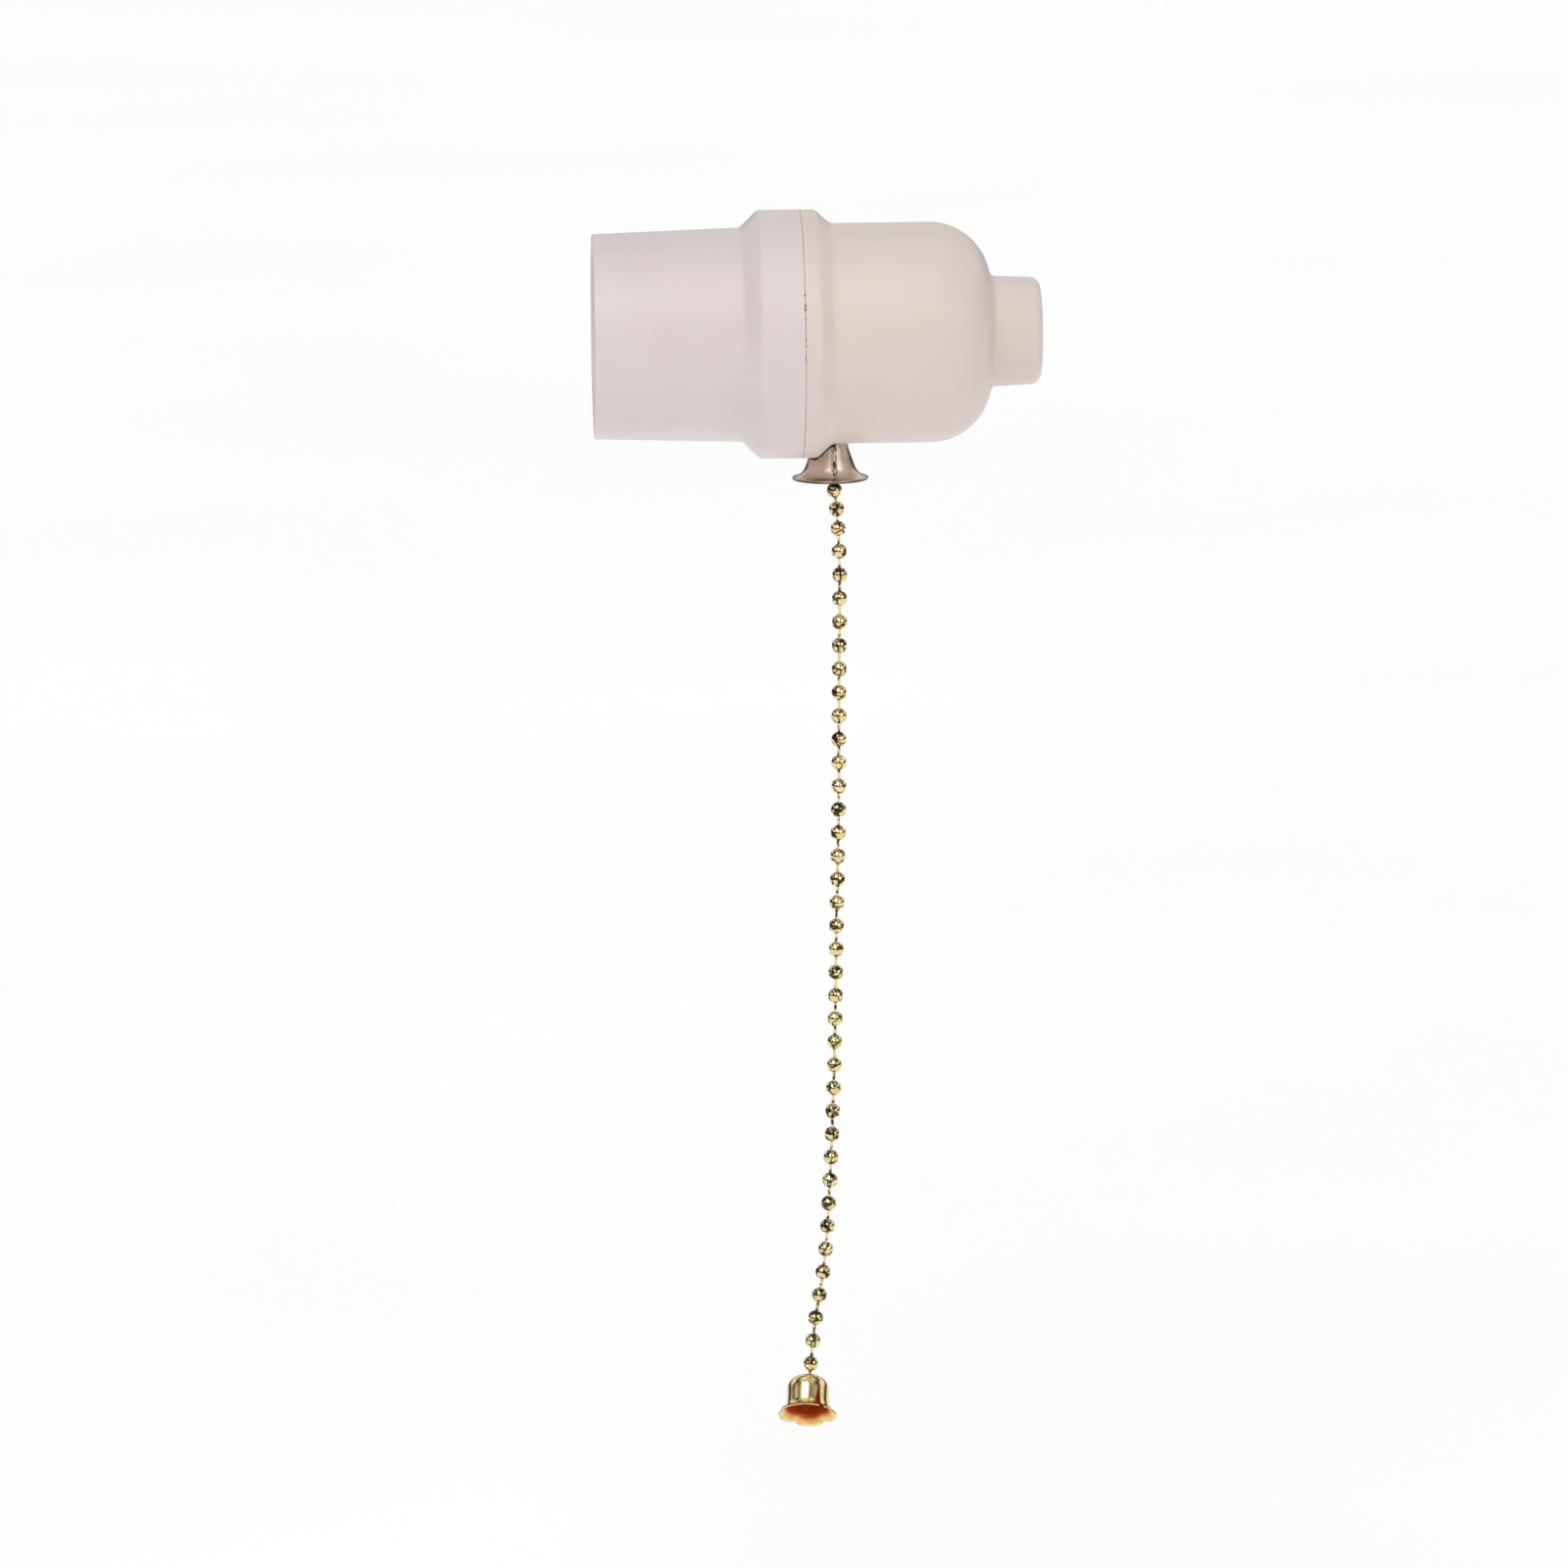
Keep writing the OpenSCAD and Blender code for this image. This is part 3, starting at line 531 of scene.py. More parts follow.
def pull_bell():
    tip = 37.0
    w = 0.175                                   # half the sheet's thickness
    # middle of the sheet as (radius, height), from the crown's hole to the cup's lower edge
    crown = [(1.15, 1.375), (1.26, 1.43)] + arc((1.12, -0.9), 2.375, 88, 0, 22)
    cup = [(3.495, -1.4), (3.495, -1.9), (3.495, -2.4), (3.495, -2.9), (3.495, -3.35)]
    flare = [(3.495, -3.35), (3.50, -3.7), (3.56, -4.0), (3.70, -4.3), (3.95, -4.62), (4.28, -4.9), (4.66, -5.12),
             (4.97, -5.3)]
    rows = [(p, 0.0, 0) for p in crown] + [(p, 0.0, 1) for p in cup]
    nf = 14
    rows += [(None, (i + 1) / nf, 2) for i in range(nf)]
    seam0, n = 295.0, 220
    flen = np.array(flare)

    def sheet(u, phi):
        """Middle of the flare at share u and polar angle phi, shaped into five petals."""
        psi = ((phi - 44.0 + 360.0) % 72.0 - 36.0) / 36.0          # 0 at a petal's middle, 1 at a notch
        lobe = (1 - abs(psi) ** 2.4) ** 0.62
        reach = 0.62 + 0.38 * lobe
        p = along_profile(flare, u * reach)
        # each petal is a little dished, with a soft crease between neighbours
        curl = 0.16 * u * u * (1 - psi * psi) - 0.05 * u * (1 - psi * psi)
        return np.array([p[0], p[1] + curl * 0.6])

    def gap(r, z):
        if z > 1.0 and r < 1.95:
            return 0.5 if r < 1.75 else 0.5 - 0.43 * (r - 1.75) / 0.2
        if z > -1.3:
            return 0.07
        return 0.07 + 0.37 * min(1.0, (-1.3 - z) / 2.4)

    def mid(i, phi):
        p, u, kind = rows[i]
        return np.array(p) if kind < 2 else sheet(u, phi)

    def seam_mid(i):
        p = mid(i, seam0)
        if p[1] > 1.0 and p[0] < 2.3:
            return seam0 - 14.0 * min(1.0, (2.3 - p[0]) / 0.55)
        return seam0

    verts, faces, fm = [], [], []
    R = len(rows)
    for side in (1, -1):
        for i in range(R):
            p0 = mid(i, seam0)
            s = seam_mid(i)
            h = math.degrees(math.asin(min(0.9, gap(p0[0], p0[1]) / p0[0])))
            for j in range(n + 1):
                # columns are spread evenly between the seam's edges
                phi = s + h + (360 - 2 * h) * j / n
                p = mid(i, phi)
                q0, q1 = mid(max(i - 1, 0), phi), mid(min(i + 1, R - 1), phi)
                t = q1 - q0
                t /= np.linalg.norm(t)
                nrm = np.array([-t[1], t[0]])            # outwards
                th = w
                q = p + side * th * nrm
                c, sn = math.cos(math.radians(phi)), math.sin(math.radians(phi))
                verts.append((q[0] * c, q[0] * sn, q[1]))
    C = n + 1
    off = R * C
    for i in range(R - 1):
        for j in range(n):
            a, b = i * C + j, (i + 1) * C + j
            faces.append((a, a + 1, b + 1, b)); fm.append(0)
            faces.append((off + a, off + b, off + b + 1, off + a + 1))
            u = rows[i][1]
            fm.append(min(4, 1 + int(max(0.0, u - 0.2) / 0.13)) if u <= 0.72 else 0)
    # rounded rim and hole edge: an extra middle row pushed out along the sheet
    for i, sgn in ((0, -1), (R - 1, 1)):
        base = len(verts)
        for j in range(C):
            a, b = np.array(verts[i * C + j]), np.array(verts[off + i * C + j])
            k = i + 1 if i == 0 else i - 1
            d = (a + b) / 2 - (np.array(verts[k * C + j]) + np.array(verts[off + k * C + j])) / 2
            verts.append(tuple((a + b) / 2 + d / np.linalg.norm(d) * w * 0.8))
        for j in range(n):
            a, b, c = i * C + j, base + j, off + i * C + j
            faces.append((a, a + 1, b + 1, b)); fm.append(0 if i == 0 else 5)
            faces.append((b, b + 1, c + 1, c)); fm.append(0)
        if i == 0:
            lip0 = base
        else:
            lip1 = base
    for j in (0, n):
        for i in range(R - 1):
            faces.append((i * C + j, (i + 1) * C + j, off + (i + 1) * C + j, off + i * C + j)); fm.append(0)
        faces.append((j, off + j, lip0 + j)); fm.append(0)
        faces.append(((R - 1) * C + j, off + (R - 1) * C + j, lip1 + j)); fm.append(0)
    o = ball_at(LAST)
    rot = Matrix.Rotation(math.radians(4.5), 3, "Y") @ Matrix.Rotation(math.radians(-tip), 3, "X")
    R3 = np.array(rot)
    verts = (np.array(verts) @ R3.T + o)
    ob = new_mesh("pull_bell_sheet", verts, faces, angle=48, face_mats=fm,
                  mats=[M[k] for k in ("bell_brass", "bell_inside", "bell_inside_1", "bell_inside_2", "bell_inside_3",
                                       "bell_edge")])
    return ob


bell = place(pull_bell(), "bell", "chain_brass", "pull_bell")

chain_run("chain_run_1", "chain_1", 8, 17, 7, 16, ["chain_1_balls", "chain_1_links"])
chain_run("chain_run_2", "chain_2", 18, 27, 17, 26, ["chain_2_balls", "chain_2_links"])
chain_run("chain_run_3", "chain_3", 28, 37, 27, 36, ["chain_3_balls", "chain_3_links"])
chain_run("chain_run_4", "chain_4", 38, 47, 37, 46, ["chain_4_balls", "chain_4_links"])
top_balls = place(new_mesh("top_balls", *join([ball_mesh(k) for k in range(0, 8)]), angle=40, mats=[M["chain_brass"]]),
                  "chain_top", "chain_brass", "chain_top_balls")
top_links = place(new_mesh("top_links", *join([link_mesh(k) for k in range(0, 7)]), angle=40, mats=[M["chain_brass"]]),
                  "chain_top", "chain_brass", "chain_top_links")


# ---- housing shells ----------------------------------------------------------------

class Surface:
    """A surface of revolution about X given by rows (x, r), with round holes cut by regular rings of faces."""

    def __init__(self, rows, n):
        self.rows, self.n = rows, n
        self.verts, self.faces = [], []
        self.idx = np.full((len(rows), n), -1)
        self.skip = np.zeros((len(rows) - 1, n), bool)

    def rad(self, x, i0, i1):
        seg = self.rows[i0:i1 + 1]
        return float(np.interp(x, [p[0] for p in seg], [p[1] for p in seg]))

    def vert(self, i, j):
        j %= self.n
        if self.idx[i, j] < 0:
            x, r = self.rows[i]
            t = 2 * math.pi * j / self.n
            self.idx[i, j] = len(self.verts)
            self.verts.append((x, r * math.cos(t), r * math.sin(t)))
        return int(self.idx[i, j])

    def span(self, hx0, hx1):
        i0 = min(range(len(self.rows)), key=lambda i: abs(self.rows[i][0] - hx0) + (self.rows[i][0] < hx0 - 3) * 9)
        return i0, min(range(len(self.rows)), key=lambda i: abs(self.rows[i][0] - hx1))

    def match(self, other, hx0, hx1, half):
        """Span and half width of a hole here whose ring has as many points as the other surface's."""
        k = other.span(hx0, hx1)
        k = k[1] - k[0]
        for far in (0, -0.9, 0.9, -1.8, -2.7):
            m = self.span(hx0 + far, hx1)
            m = m[1] - m[0]
            if (k - m) % 2 == 0:
                return hx0 + far, hx1, half + (k - m) // 2
        raise SystemExit("no matching span")

    def hole(self, x0, jc, hx0, hx1, half, rings, radii, dirs=None):
        """Hole about column jc at x0. radii: the rings' radii from the widest in, each with how deep it is sunk."""
        i0, i1 = self.span(hx0, hx1)
        tc = 2 * math.pi * jc / self.n
        yv = np.array([0, math.cos(tc), math.sin(tc)])
        wv = np.array([0, -math.sin(tc), math.cos(tc)])
        for i in range(i0, i1):
            for j in range(jc - half, jc + half):
                self.skip[i, j % self.n] = True
        ring = [(i0, j) for j in range(jc - half, jc + half)] + [(i, jc + half) for i in range(i0, i1)] \
            + [(i1, j) for j in range(jc + half, jc - half, -1)] + [(i, jc - half) for i in range(i1, i0, -1)]
        prev = [self.vert(i, j) for i, j in ring]
        flat = []
        for i, j in ring:
            x, r = self.rows[i]
            flat.append((x - x0, r * math.sin(2 * math.pi * (j - jc) / self.n)))
        if dirs is None:
            dirs = [np.array(p) / np.linalg.norm(p) for p in flat]
        self.dirs = dirs

        def height(a):
            R = self.rad(x0 + a[0], i0, i1)
            return math.sqrt(max(R * R - a[1] * a[1], 0))

        def spot(q, r, d):
            """Place on the ring: offset from the hole's axis, and height along it."""
            if not callable(r):
                return q * r, height(q * r) - d
            rr = 3.6
            for _ in range(12):
                rr = r(height(q * rr) - d)
            return q * rr, height(q * rr) - d

        seq = [(None, (k + 1) / rings) for k in range(rings - 1)] + list(radii)
        for r, d in seq:
            cur = []
            for p, q in zip(flat, dirs):
                if r is None:
                    a = np.array(p) * (1 - d) + spot(q, *radii[0])[0] * d
                    h = height(a)
                elif isinstance(d, str):
                    a, h = q * r, float(d)
                else:
                    a, h = spot(q, r, d)
                x = x0 + a[0]
                cur.append(len(self.verts))
                self.verts.append(tuple(np.array([x, 0, 0]) + h * yv + a[1] * wv))
            m = len(cur)
            for k in range(m):
                self.faces.append((prev[k], prev[(k + 1) % m], cur[(k + 1) % m], cur[k]))
            prev = cur
        return prev

    def finish(self):
        for i in range(len(self.rows) - 1):
            for j in range(self.n):
                if not self.skip[i, j]:
                    self.faces.append((self.vert(i, j), self.vert(i + 1, j), self.vert(i + 1, j + 1), self.vert(i, j + 1)))
        return self


def two_skins(outer, inner, holes):
    """Joins an outer and an inner surface at both ends and through their holes."""
    a, b = outer.finish(), inner.finish()
    off = len(a.verts)
    verts = a.verts + b.verts
    faces = list(a.faces) + [tuple(i + off for i in f) for f in b.faces]
    for i, k in ((0, 0), (len(a.rows) - 1, len(b.rows) - 1)):
        for j in range(a.n):
            faces.append((a.vert(i, j), a.vert(i, j + 1), b.vert(k, j + 1) + off, b.vert(k, j) + off))
    for ra, rb in holes:
        m = len(ra)
        for k in range(m):
            faces.append((ra[k], ra[(k + 1) % m], rb[(k + 1) % m] + off, rb[k] + off))
    return verts, faces


MOUTH_X = skirt_lo.x / MM
PART_X = skirt_hi.x / MM
COLLAR_R = 20.8
CAP_R, WALL, NECK_R = 18.45, 1.6, 9.15
N = 144


def skirt_shell():
    out = arc((MOUTH_X + 0.35, 17.15 - 0.35), 0.35, 180, 90, 6)[1:]
    out += arc((-50.75, 19.1), 1.2, -91, -45, 12)
    out += arc((-46.83, COLLAR_R - 1.205), 1.2, 135, 91, 12) + [(PART_X - 6.2, COLLAR_R - 0.004)]
    out += arc((PART_X - 0.06, COLLAR_R - 0.06), 0.06, 90, 0, 4)
    out = finer(out, 1.2)
    inn = [(MOUTH_X, 15.4), (MOUTH_X + 0.12, 15.2), (MOUTH_X + 0.3, 15.05), (MOUTH_X + 0.6, 15.0), (-48.5, 14.95),
           (-47.05, 15.3), (-47.05, 17.0), (-46.6, 17.0), (-45.6, 19.0), (-44.05, 19.0), (-43.85, 18.45), (-43.45, 18.45),
           (-43.25, 19.0), (-42.55, 19.0), (-42.35, 18.45), (-41.95, 18.45), (-41.75, 19.0), (PART_X - 0.25, 19.0),
           (PART_X, 19.25)]
    inn = finer(inn, 1.6)
    a, b = Surface(out, N), Surface(inn, N)
    return new_mesh("skirt_shell_moulding", *two_skins(a, b, []), angle=34, mats=[M["skirt_plastic"]])


def cap_shell():
    px = PART_X + 0.04
    out = [(-45.2, 17.9), (-44.9, 18.3), (-44.7, 18.3), (-44.6, 18.85), (-44.25, 18.85), (-44.1, 18.3), (-43.2, 18.3),
           (-43.05, 18.85), (-42.75, 18.85), (-42.6, 18.3), (-41.7, 18.3), (-41.55, 18.85), (-41.25, 18.85),
           (-41.1, 18.3), (px, 18.3)]
    out += arc((px + 0.06, COLLAR_R - 0.06), 0.06, 180, 90, 4)
    k0 = len(out) - 1
    out += [(-39.85, COLLAR_R)] + arc((-38.3, COLLAR_R - 1.6), 1.6, 90, 48, 12)
    out += arc((-34.33, CAP_R + 2.0), 2.0, 228, 270, 12)
    out = out[:k0] + finer(out[k0:], 0.9)
    dome = arc((-18.6, CAP_R - 10.3), 10.3, 90, 10.5, 40)
    out += finer([out[-1], dome[0]], 1.0)[1:-1] + dome
    foot = arc((-7.58, NECK_R + 0.82), 0.72, 184, 264, 8)
    neck = arc((-1.8, NECK_R - 0.15 - 1.8), 1.8, 88, 1, 16)
    out += foot + finer([foot[-1], neck[0]], 0.8)[1:-1] + neck + [(0.0, 7.0)]
    ri = CAP_R - WALL
    inn = [(-45.2, ri)] + arc((-18.6, CAP_R - 10.3), 8.7, 90, 6, 16) + [(-9.9, 8.6), (-9.9, 6.45), (0, 6.45)]
    inn = finer(inn, 0.9)
    a, b = Surface(out, N), Surface(inn, N)
    jd = 3 * N // 4                       # column of -Z

    def clear(e):
        return lambda h: e + float(np.interp(h, [18.3, 19.9, 21.1], [3.25, 3.65, 4.05]))

    ha = a.hole(CX, jd, -39.85, -31.0, 6, 5,
                [(clear(0.3), 0.0), (clear(0.16), 0.03), (clear(0.05), 0.11), (clear(0.0), 0.25), (3.25, "18.1")])
    hb = b.hole(CX, jd, *b.match(a, -39.85, -31.0, 6), 5, [(3.25, 0.0)], a.dirs)
    # radial hole of the neck's set screw, on +Y
    hc = a.hole(-4.2, 0, -6.7, -2.0, 10, 4, [(1.85, 0.0), (1.74, 0.04), (1.67, 0.14)])
    hd = b.hole(-4.2, 0, *b.match(a, -6.7, -2.0, 10), 4, [(1.65, 0.0)], a.dirs)
    return new_mesh("cap_shell_moulding", *two_skins(a, b, [(ha, hb), (hc, hd)]), angle=34, mats=[M["cap_plastic"]])


skirt = place(skirt_shell(), "housing", "skirt_plastic", "skirt_shell")

cap = place(cap_shell(), "housing", "cap_plastic", "cap_shell")


# ---- chain guide: a rolled sheet trumpet ------------------------------------------------

def curve(pts, step):
    """A smooth line through the points (centripetal Catmull-Rom)."""
    P = [np.array(p, float) for p in pts]
    P = [2 * P[0] - P[1]] + P + [2 * P[-1] - P[-2]]
    out = []
    for i in range(1, len(P) - 2):
        a, b, c, d = P[i - 1:i + 3]
        t = [0.0]
        for u, v in ((a, b), (b, c), (c, d)):
            t.append(t[-1] + max(np.linalg.norm(v - u), 1e-9) ** 0.5)
        k = max(1, int(math.ceil(np.linalg.norm(c - b) / step)))
        for j in range(k):
            x = t[1] + (t[2] - t[1]) * j / k
            A1 = a + (b - a) * (x - t[0]) / (t[1] - t[0])
            A2 = b + (c - b) * (x - t[1]) / (t[2] - t[1])
            A3 = c + (d - c) * (x - t[2]) / (t[3] - t[2])
            B1 = A1 + (A2 - A1) * (x - t[0]) / (t[2] - t[0])
            B2 = A2 + (A3 - A2) * (x - t[1]) / (t[3] - t[1])
            out.append(B1 + (B2 - B1) * (x - t[1]) / (t[2] - t[1]))
    return out + [P[-2]]


def resample(pts, n):
    d = np.concatenate([[0], np.cumsum([np.linalg.norm(q - p) for p, q in zip(pts, pts[1:])])])
    t = np.linspace(0, d[-1], n)
    return [np.array([np.interp(x, d, [p[i] for p in pts]) for i in (0, 1)]) for x in t]


def chain_guide():
    mid = curve([(2.75, -10.7), (2.75, -14.5), (2.75, -17.9), (2.87, -18.7), (3.14, -19.9), (3.52, -21.05),
                 (3.95, -22.25), (4.4, -23.2), (5.12, -23.93), (5.75, -24.2)], 0.2)
    mid = resample(mid, 64)
    w = 0.19
    tang = [mid[min(i + 1, len(mid) - 1)] - mid[max(i - 1, 0)] for i in range(len(mid))]
    nrm = [np.array([-t[1], t[0]]) / np.linalg.norm(t) for t in tang]
    outer = [m + w * n for m, n in zip(mid, nrm)]
    inner = [m - w * n for m, n in zip(mid, nrm)]
    # rolled rim: a bead a little thicker than the sheet
    e, t = mid[-1], tang[-1] / np.linalg.norm(tang[-1])
    c0 = e + t * 0.42
    n0 = np.array([-t[1], t[0]])
    bead = [c0 + 0.27 * (math.cos(math.radians(a)) * n0 + math.sin(math.radians(a)) * t) for a in range(-52, 240, 18)]
    rows = outer + bead + inner[::-1]
    n, m = 132, len(rows)

    def half(z):
        h = 0.13 + 0.018 * math.sin(z * 3.1) + 0.012 * math.sin(z * 7.7 + 1)
        return h * min(1.0, max(0.0, (z + 23.6) / 0.5))

    verts, faces = [], []
    for r, z in rows:
        a = -90 + math.degrees(math.asin(0.6 / r))
        h = math.degrees(math.asin(half(z) / r))
        for j in range(n + 1):
            t = math.radians(a + h + (360 - 2 * h) * j / n)
            verts.append((CX + r * math.cos(t), r * math.sin(t), z))
    C = n + 1
    for i in range(m - 1):
        for j in range(n):
            faces.append((i * C + j, i * C + j + 1, (i + 1) * C + j + 1, (i + 1) * C + j))
    for j in range(n):
        faces.append((j, (m - 1) * C + j, (m - 1) * C + j + 1, j + 1))
    k = len(outer)
    for i in range(k - 1):
        if half(rows[i][1]) < 1e-9:
            break
        for j in (0, n):
            a, b = i * C + j, (m - 1 - i) * C + j
            faces.append((a, a + C, b - C, b))
    # two lugs bent outwards over the core, inside
    for s in (-1, 1):
        o, q = len(verts), 12
        for r, z in ((2.6, -10.98), (3.85, -10.98), (3.9, -10.9), (3.9, -10.68), (3.82, -10.6), (2.6, -10.6)):
            for j in range(q + 1):
                t = math.radians(s * 90 - 24 + 48 * j / q)
                verts.append((CX + r * math.cos(t), r * math.sin(t), z))
        D = q + 1
        for i in range(6):
            for j in range(q):
                a, b = o + i * D + j, o + (i + 1) % 6 * D + j
                faces.append((a, a + 1, b + 1, b))
        for j in (0, q):
            faces.append(tuple(o + i * D + j for i in range(6)))
    return new_mesh("guide_sheet", verts, faces, angle=50, mats=[M["nickel"]])


guide = place(chain_guide(), "housing", "nickel", "chain_guide")


# ---- threads and sockets -------------------------------------------------------------------

def screw_surface(x0, x1, rows, n, radius):
    """Open tube about X whose radius depends on place and angle."""
    verts, faces = [], []
    for i in range(rows + 1):
        x = x0 + (x1 - x0) * i / rows
        for j in range(n):
            t = 2 * math.pi * j / n
            r = radius(x, t)
            verts.append((x, r * math.cos(t), r * math.sin(t)))
    for i in range(rows):
        for j in range(n):
            k = (j + 1) % n
            faces.append((i * n + j, i * n + k, (i + 1) * n + k, (i + 1) * n + j))
    return verts, faces


def ring_strip(n, a, b):
    return [(a + j, a + (j + 1) % n, b + (j + 1) % n, b + j) for j in range(n)]


def turned(verts, prof, n):
    """Adds rows (x, r) about X, returns the first vertex of each."""
    first = []
    for x, r in prof:
        first.append(len(verts))
        verts += [(x, r * math.cos(2 * math.pi * j / n), r * math.sin(2 * math.pi * j / n)) for j in range(n)]
    return first


def neck_insert():
    n = 96

    def thread(x, t):
        ph = (x / 1.0 - t / (2 * math.pi)) % 1.0
        d = abs(ph - 0.5) * 2                          # 0 at the groove, 1 at the crest
        f = min(1.0, max(0.0, (0.94 - d) / 0.82))      # groove depth with narrow flats
        ends = min(1.0, max(0.0, (x + 10.95) / 0.9), max(0.0, -(x + 0.05) / 0.9))
        lead = max(0.0, 0.45 - min(x + 11.0, -x) * 0.9)
        return 4.5 + max(0.5 * f * ends, lead)

    verts, faces = screw_surface(-11.0, 0.0, 132, n, thread)
    first = turned(verts, [(-11.0, 7.95), (-10.75, 8.2), (-10.1, 8.2), (-9.95, 8.05), (-9.95, 6.4), (-0.2, 6.4),
                           (0.0, 6.2)], n)
    last = 132 * n
    chain = [0] + first + [last]
    for a, b in zip(chain, chain[1:]):
        faces += ring_strip(n, b, a)
    ob = new_mesh("neck_bush", verts, faces, angle=30, mats=[M["brass"]])
    tool = new_mesh("bush_drill", *revolve([(3.0, 1.5), (9.2, 1.5)], 48, (-4.2, 0, 0), (0, 1, 0), close=False))
    me = tool.data
    import bmesh
    bm = bmesh.new()
    bm.from_mesh(me)
    bmesh.ops.holes_fill(bm, edges=bm.edges)
    bmesh.ops.recalc_face_normals(bm, faces=bm.faces)
    bm.to_mesh(me)
    bm.free()
    return cut(ob, [tool], 30)


insert = place(neck_insert(), "housing", "brass", "neck_insert")


def drill(x0, x1, r, y, z, name):
    prof = [(0.0, 0.0), (0.0, r), (x1 - x0, r), (x1 - x0, 0.0)]
    return new_mesh(name, *revolve(prof, 40, (x0, y, z), (1, 0, 0), close=False))


def screw_shell():
    n, p = 144, 3.629
    x_in, x_out = -47.42, -66.4

    def wave(x, t, o):
        ph = (x / p - t / (2 * math.pi)) % 1.0
        f = 0.5 - 0.5 * math.cos(2 * math.pi * ph)
        f = f * f * (3 - 2 * f) * 0.35 + f * 0.65
        fade = min(1.0, max(0.0, (-48.3 - x) / 1.6)) * min(1.0, max(0.0, (x + 65.6) / 0.9))
        fade = fade * fade * (3 - 2 * fade)
        flare = max(0.0, (-65.4 - x)) ** 2 * 0.55
        foot = 0.35 * max(0.0, min(1.0, (x + 48.0) / 0.5)) ** 2
        return 12.25 + o + 1.1 * f * fade + flare - foot

    rows = 190
    va, fa = screw_surface(x_out, -47.75, rows, n, lambda x, t: wave(x, t, 0.0))
    vb, fb = screw_surface(x_out, -47.75, rows, n, lambda x, t: wave(x, t, 0.34))
    verts = va + vb
    off = len(va)
    faces = fa + [tuple(i + off for i in f) for f in fb]
    # rounded rim at the mouth
    lip = turned(verts, [(x_out - 0.08, wave(x_out, 0, 0.0) + 0.06), (x_out - 0.11, wave(x_out, 0, 0.17)),
                         (x_out - 0.08, wave(x_out, 0, 0.34) - 0.06)], n)
    for a, b in zip([0] + lip, lip + [off]):
        faces += ring_strip(n, a, b)
    # rounded corner into the floor, with its open centre
    ca = turned(verts, [(-47.56, 11.96), (-47.44, 11.82), (-47.42, 11.6), (-47.42, 9.0), (-47.42, 6.0),
                        (-47.38, 5.86), (-47.22, 5.8), (-47.06, 5.86), (-47.02, 6.0), (-47.02, 9.0), (-47.02, 11.7),
                        (-47.06, 12.08), (-47.2, 12.27), (-47.45, 12.35)], n)
    ends = [rows * n] + ca + [off + rows * n]
    for a, b in zip(ends, ends[1:]):
        faces += ring_strip(n, a, b)
    ob = new_mesh("lamp_thread_shell", verts, faces, angle=38, mats=[M["brass"]])
    return cut(ob, [drill(-48.2, -46.2, 1.15, y, 0, "floor_drill") for y in (-9.5, 9.5)], 38)


lamp_shell = place(screw_shell(), "housing", "brass", "screw_shell")


def slot_cutter(x0, x1, y, z, length, width, angle, name):
    """A bar across a screw's head, standing for its slot, with a slightly rounded floor."""
    a = math.radians(angle)
    u, v = np.array([math.cos(a), math.sin(a)]), np.array([-math.sin(a), math.cos(a)])
    prof = [(x0, -1), (x0, 1), (x1 - 0.05 * np.sign(x1 - x0), 1), (x1, 0.8), (x1, -0.8), (x1 - 0.05 * np.sign(x1 - x0), -1)]
    verts = []
    for s in (-1, 1):
        for x, q in prof:
            w = u * s * length / 2 + v * q * width / 2
            verts.append((x, y + w[0], z + w[1]))
    faces = [tuple(range(6)), tuple(range(11, 5, -1))] + [(i, i + 6, (i + 1) % 6 + 6, (i + 1) % 6) for i in range(6)]
    return new_mesh(name, verts, faces)


def pan_screw(x_face, side, r_head, h, r_shank, x_tip, y, z, angle, slot_w, pitch, name, mat):
    """Pan head screw: side is the direction of the head's top along X."""
    prof = [(h, 0.0)]
    for i in range(1, 9):
        q = i / 8
        prof.append((h - (1 - math.sqrt(1 - (q * 0.8) ** 2)) * h * 0.75, r_head * 0.92 * q))
    prof += [(h * 0.48, r_head * 0.98), (h * 0.3, r_head), (0.08, r_head), (0.0, r_head - 0.08), (0.0, r_shank)]
    length = abs(x_tip - x_face)
    k = int((length - 1.0) / pitch)
    for i in range(k):
        s = -0.4 - i * pitch
        prof += [(s, r_shank * 0.84), (s - pitch * 0.5, r_shank)]
    prof += [(-length + 0.35, r_shank * 0.84), (-length, r_shank * 0.5), (-length, 0.0)]
    ob = new_mesh(name, *revolve(prof, 56, (x_face, y, z), (side, 0, 0), close=False), angle=40, mats=[mat])
    top = x_face + side * h
    return cut(ob, [slot_cutter(top + side * 0.6, top - side * h * 0.5, y, z, r_head * 2.6, slot_w, angle, "slot_bar")], 40)


def merge(obs, name):
    """One object out of several, kept in place."""
    with bpy.context.temp_override(active_object=obs[0], object=obs[0], selected_objects=obs,
                                   selected_editable_objects=obs):
        bpy.ops.object.join()
    obs[0].name = name
    return obs[0]


lamp_screws = merge([pan_screw(-47.42, -1, 2.0, 1.1, 1.1, -40.0, y, 0, a, 0.5, 0.5, "lamp_screw", M["zinc_steel"])
                     for y, a in ((-9.5, 28), (9.5, 107))], "lamp_shell_screws")
place(lamp_screws, "housing", "zinc_steel", "shell_screws")
cover_screws = merge([pan_screw(-21.0, 1, 2.25, 1.5, 1.25, -36.0, s * 10.5, s * 9, a, 0.6, 0.6, "cover_screw",
                                M["zinc_steel"]) for s, a in ((-1, 40), (1, 155))], "cover_screws")
place(cover_screws, "housing", "zinc_steel", "core_screws")
clamp_screws = merge([pan_screw(-20.5, 1, 3.1, 2.1, 1.6, -26.0, s * 11.5, 0, a, 0.65, 0.7, "clamp_screw", M["brass"])
                      for s, a in ((-1, 75), (1, 12))], "clamp_screws")
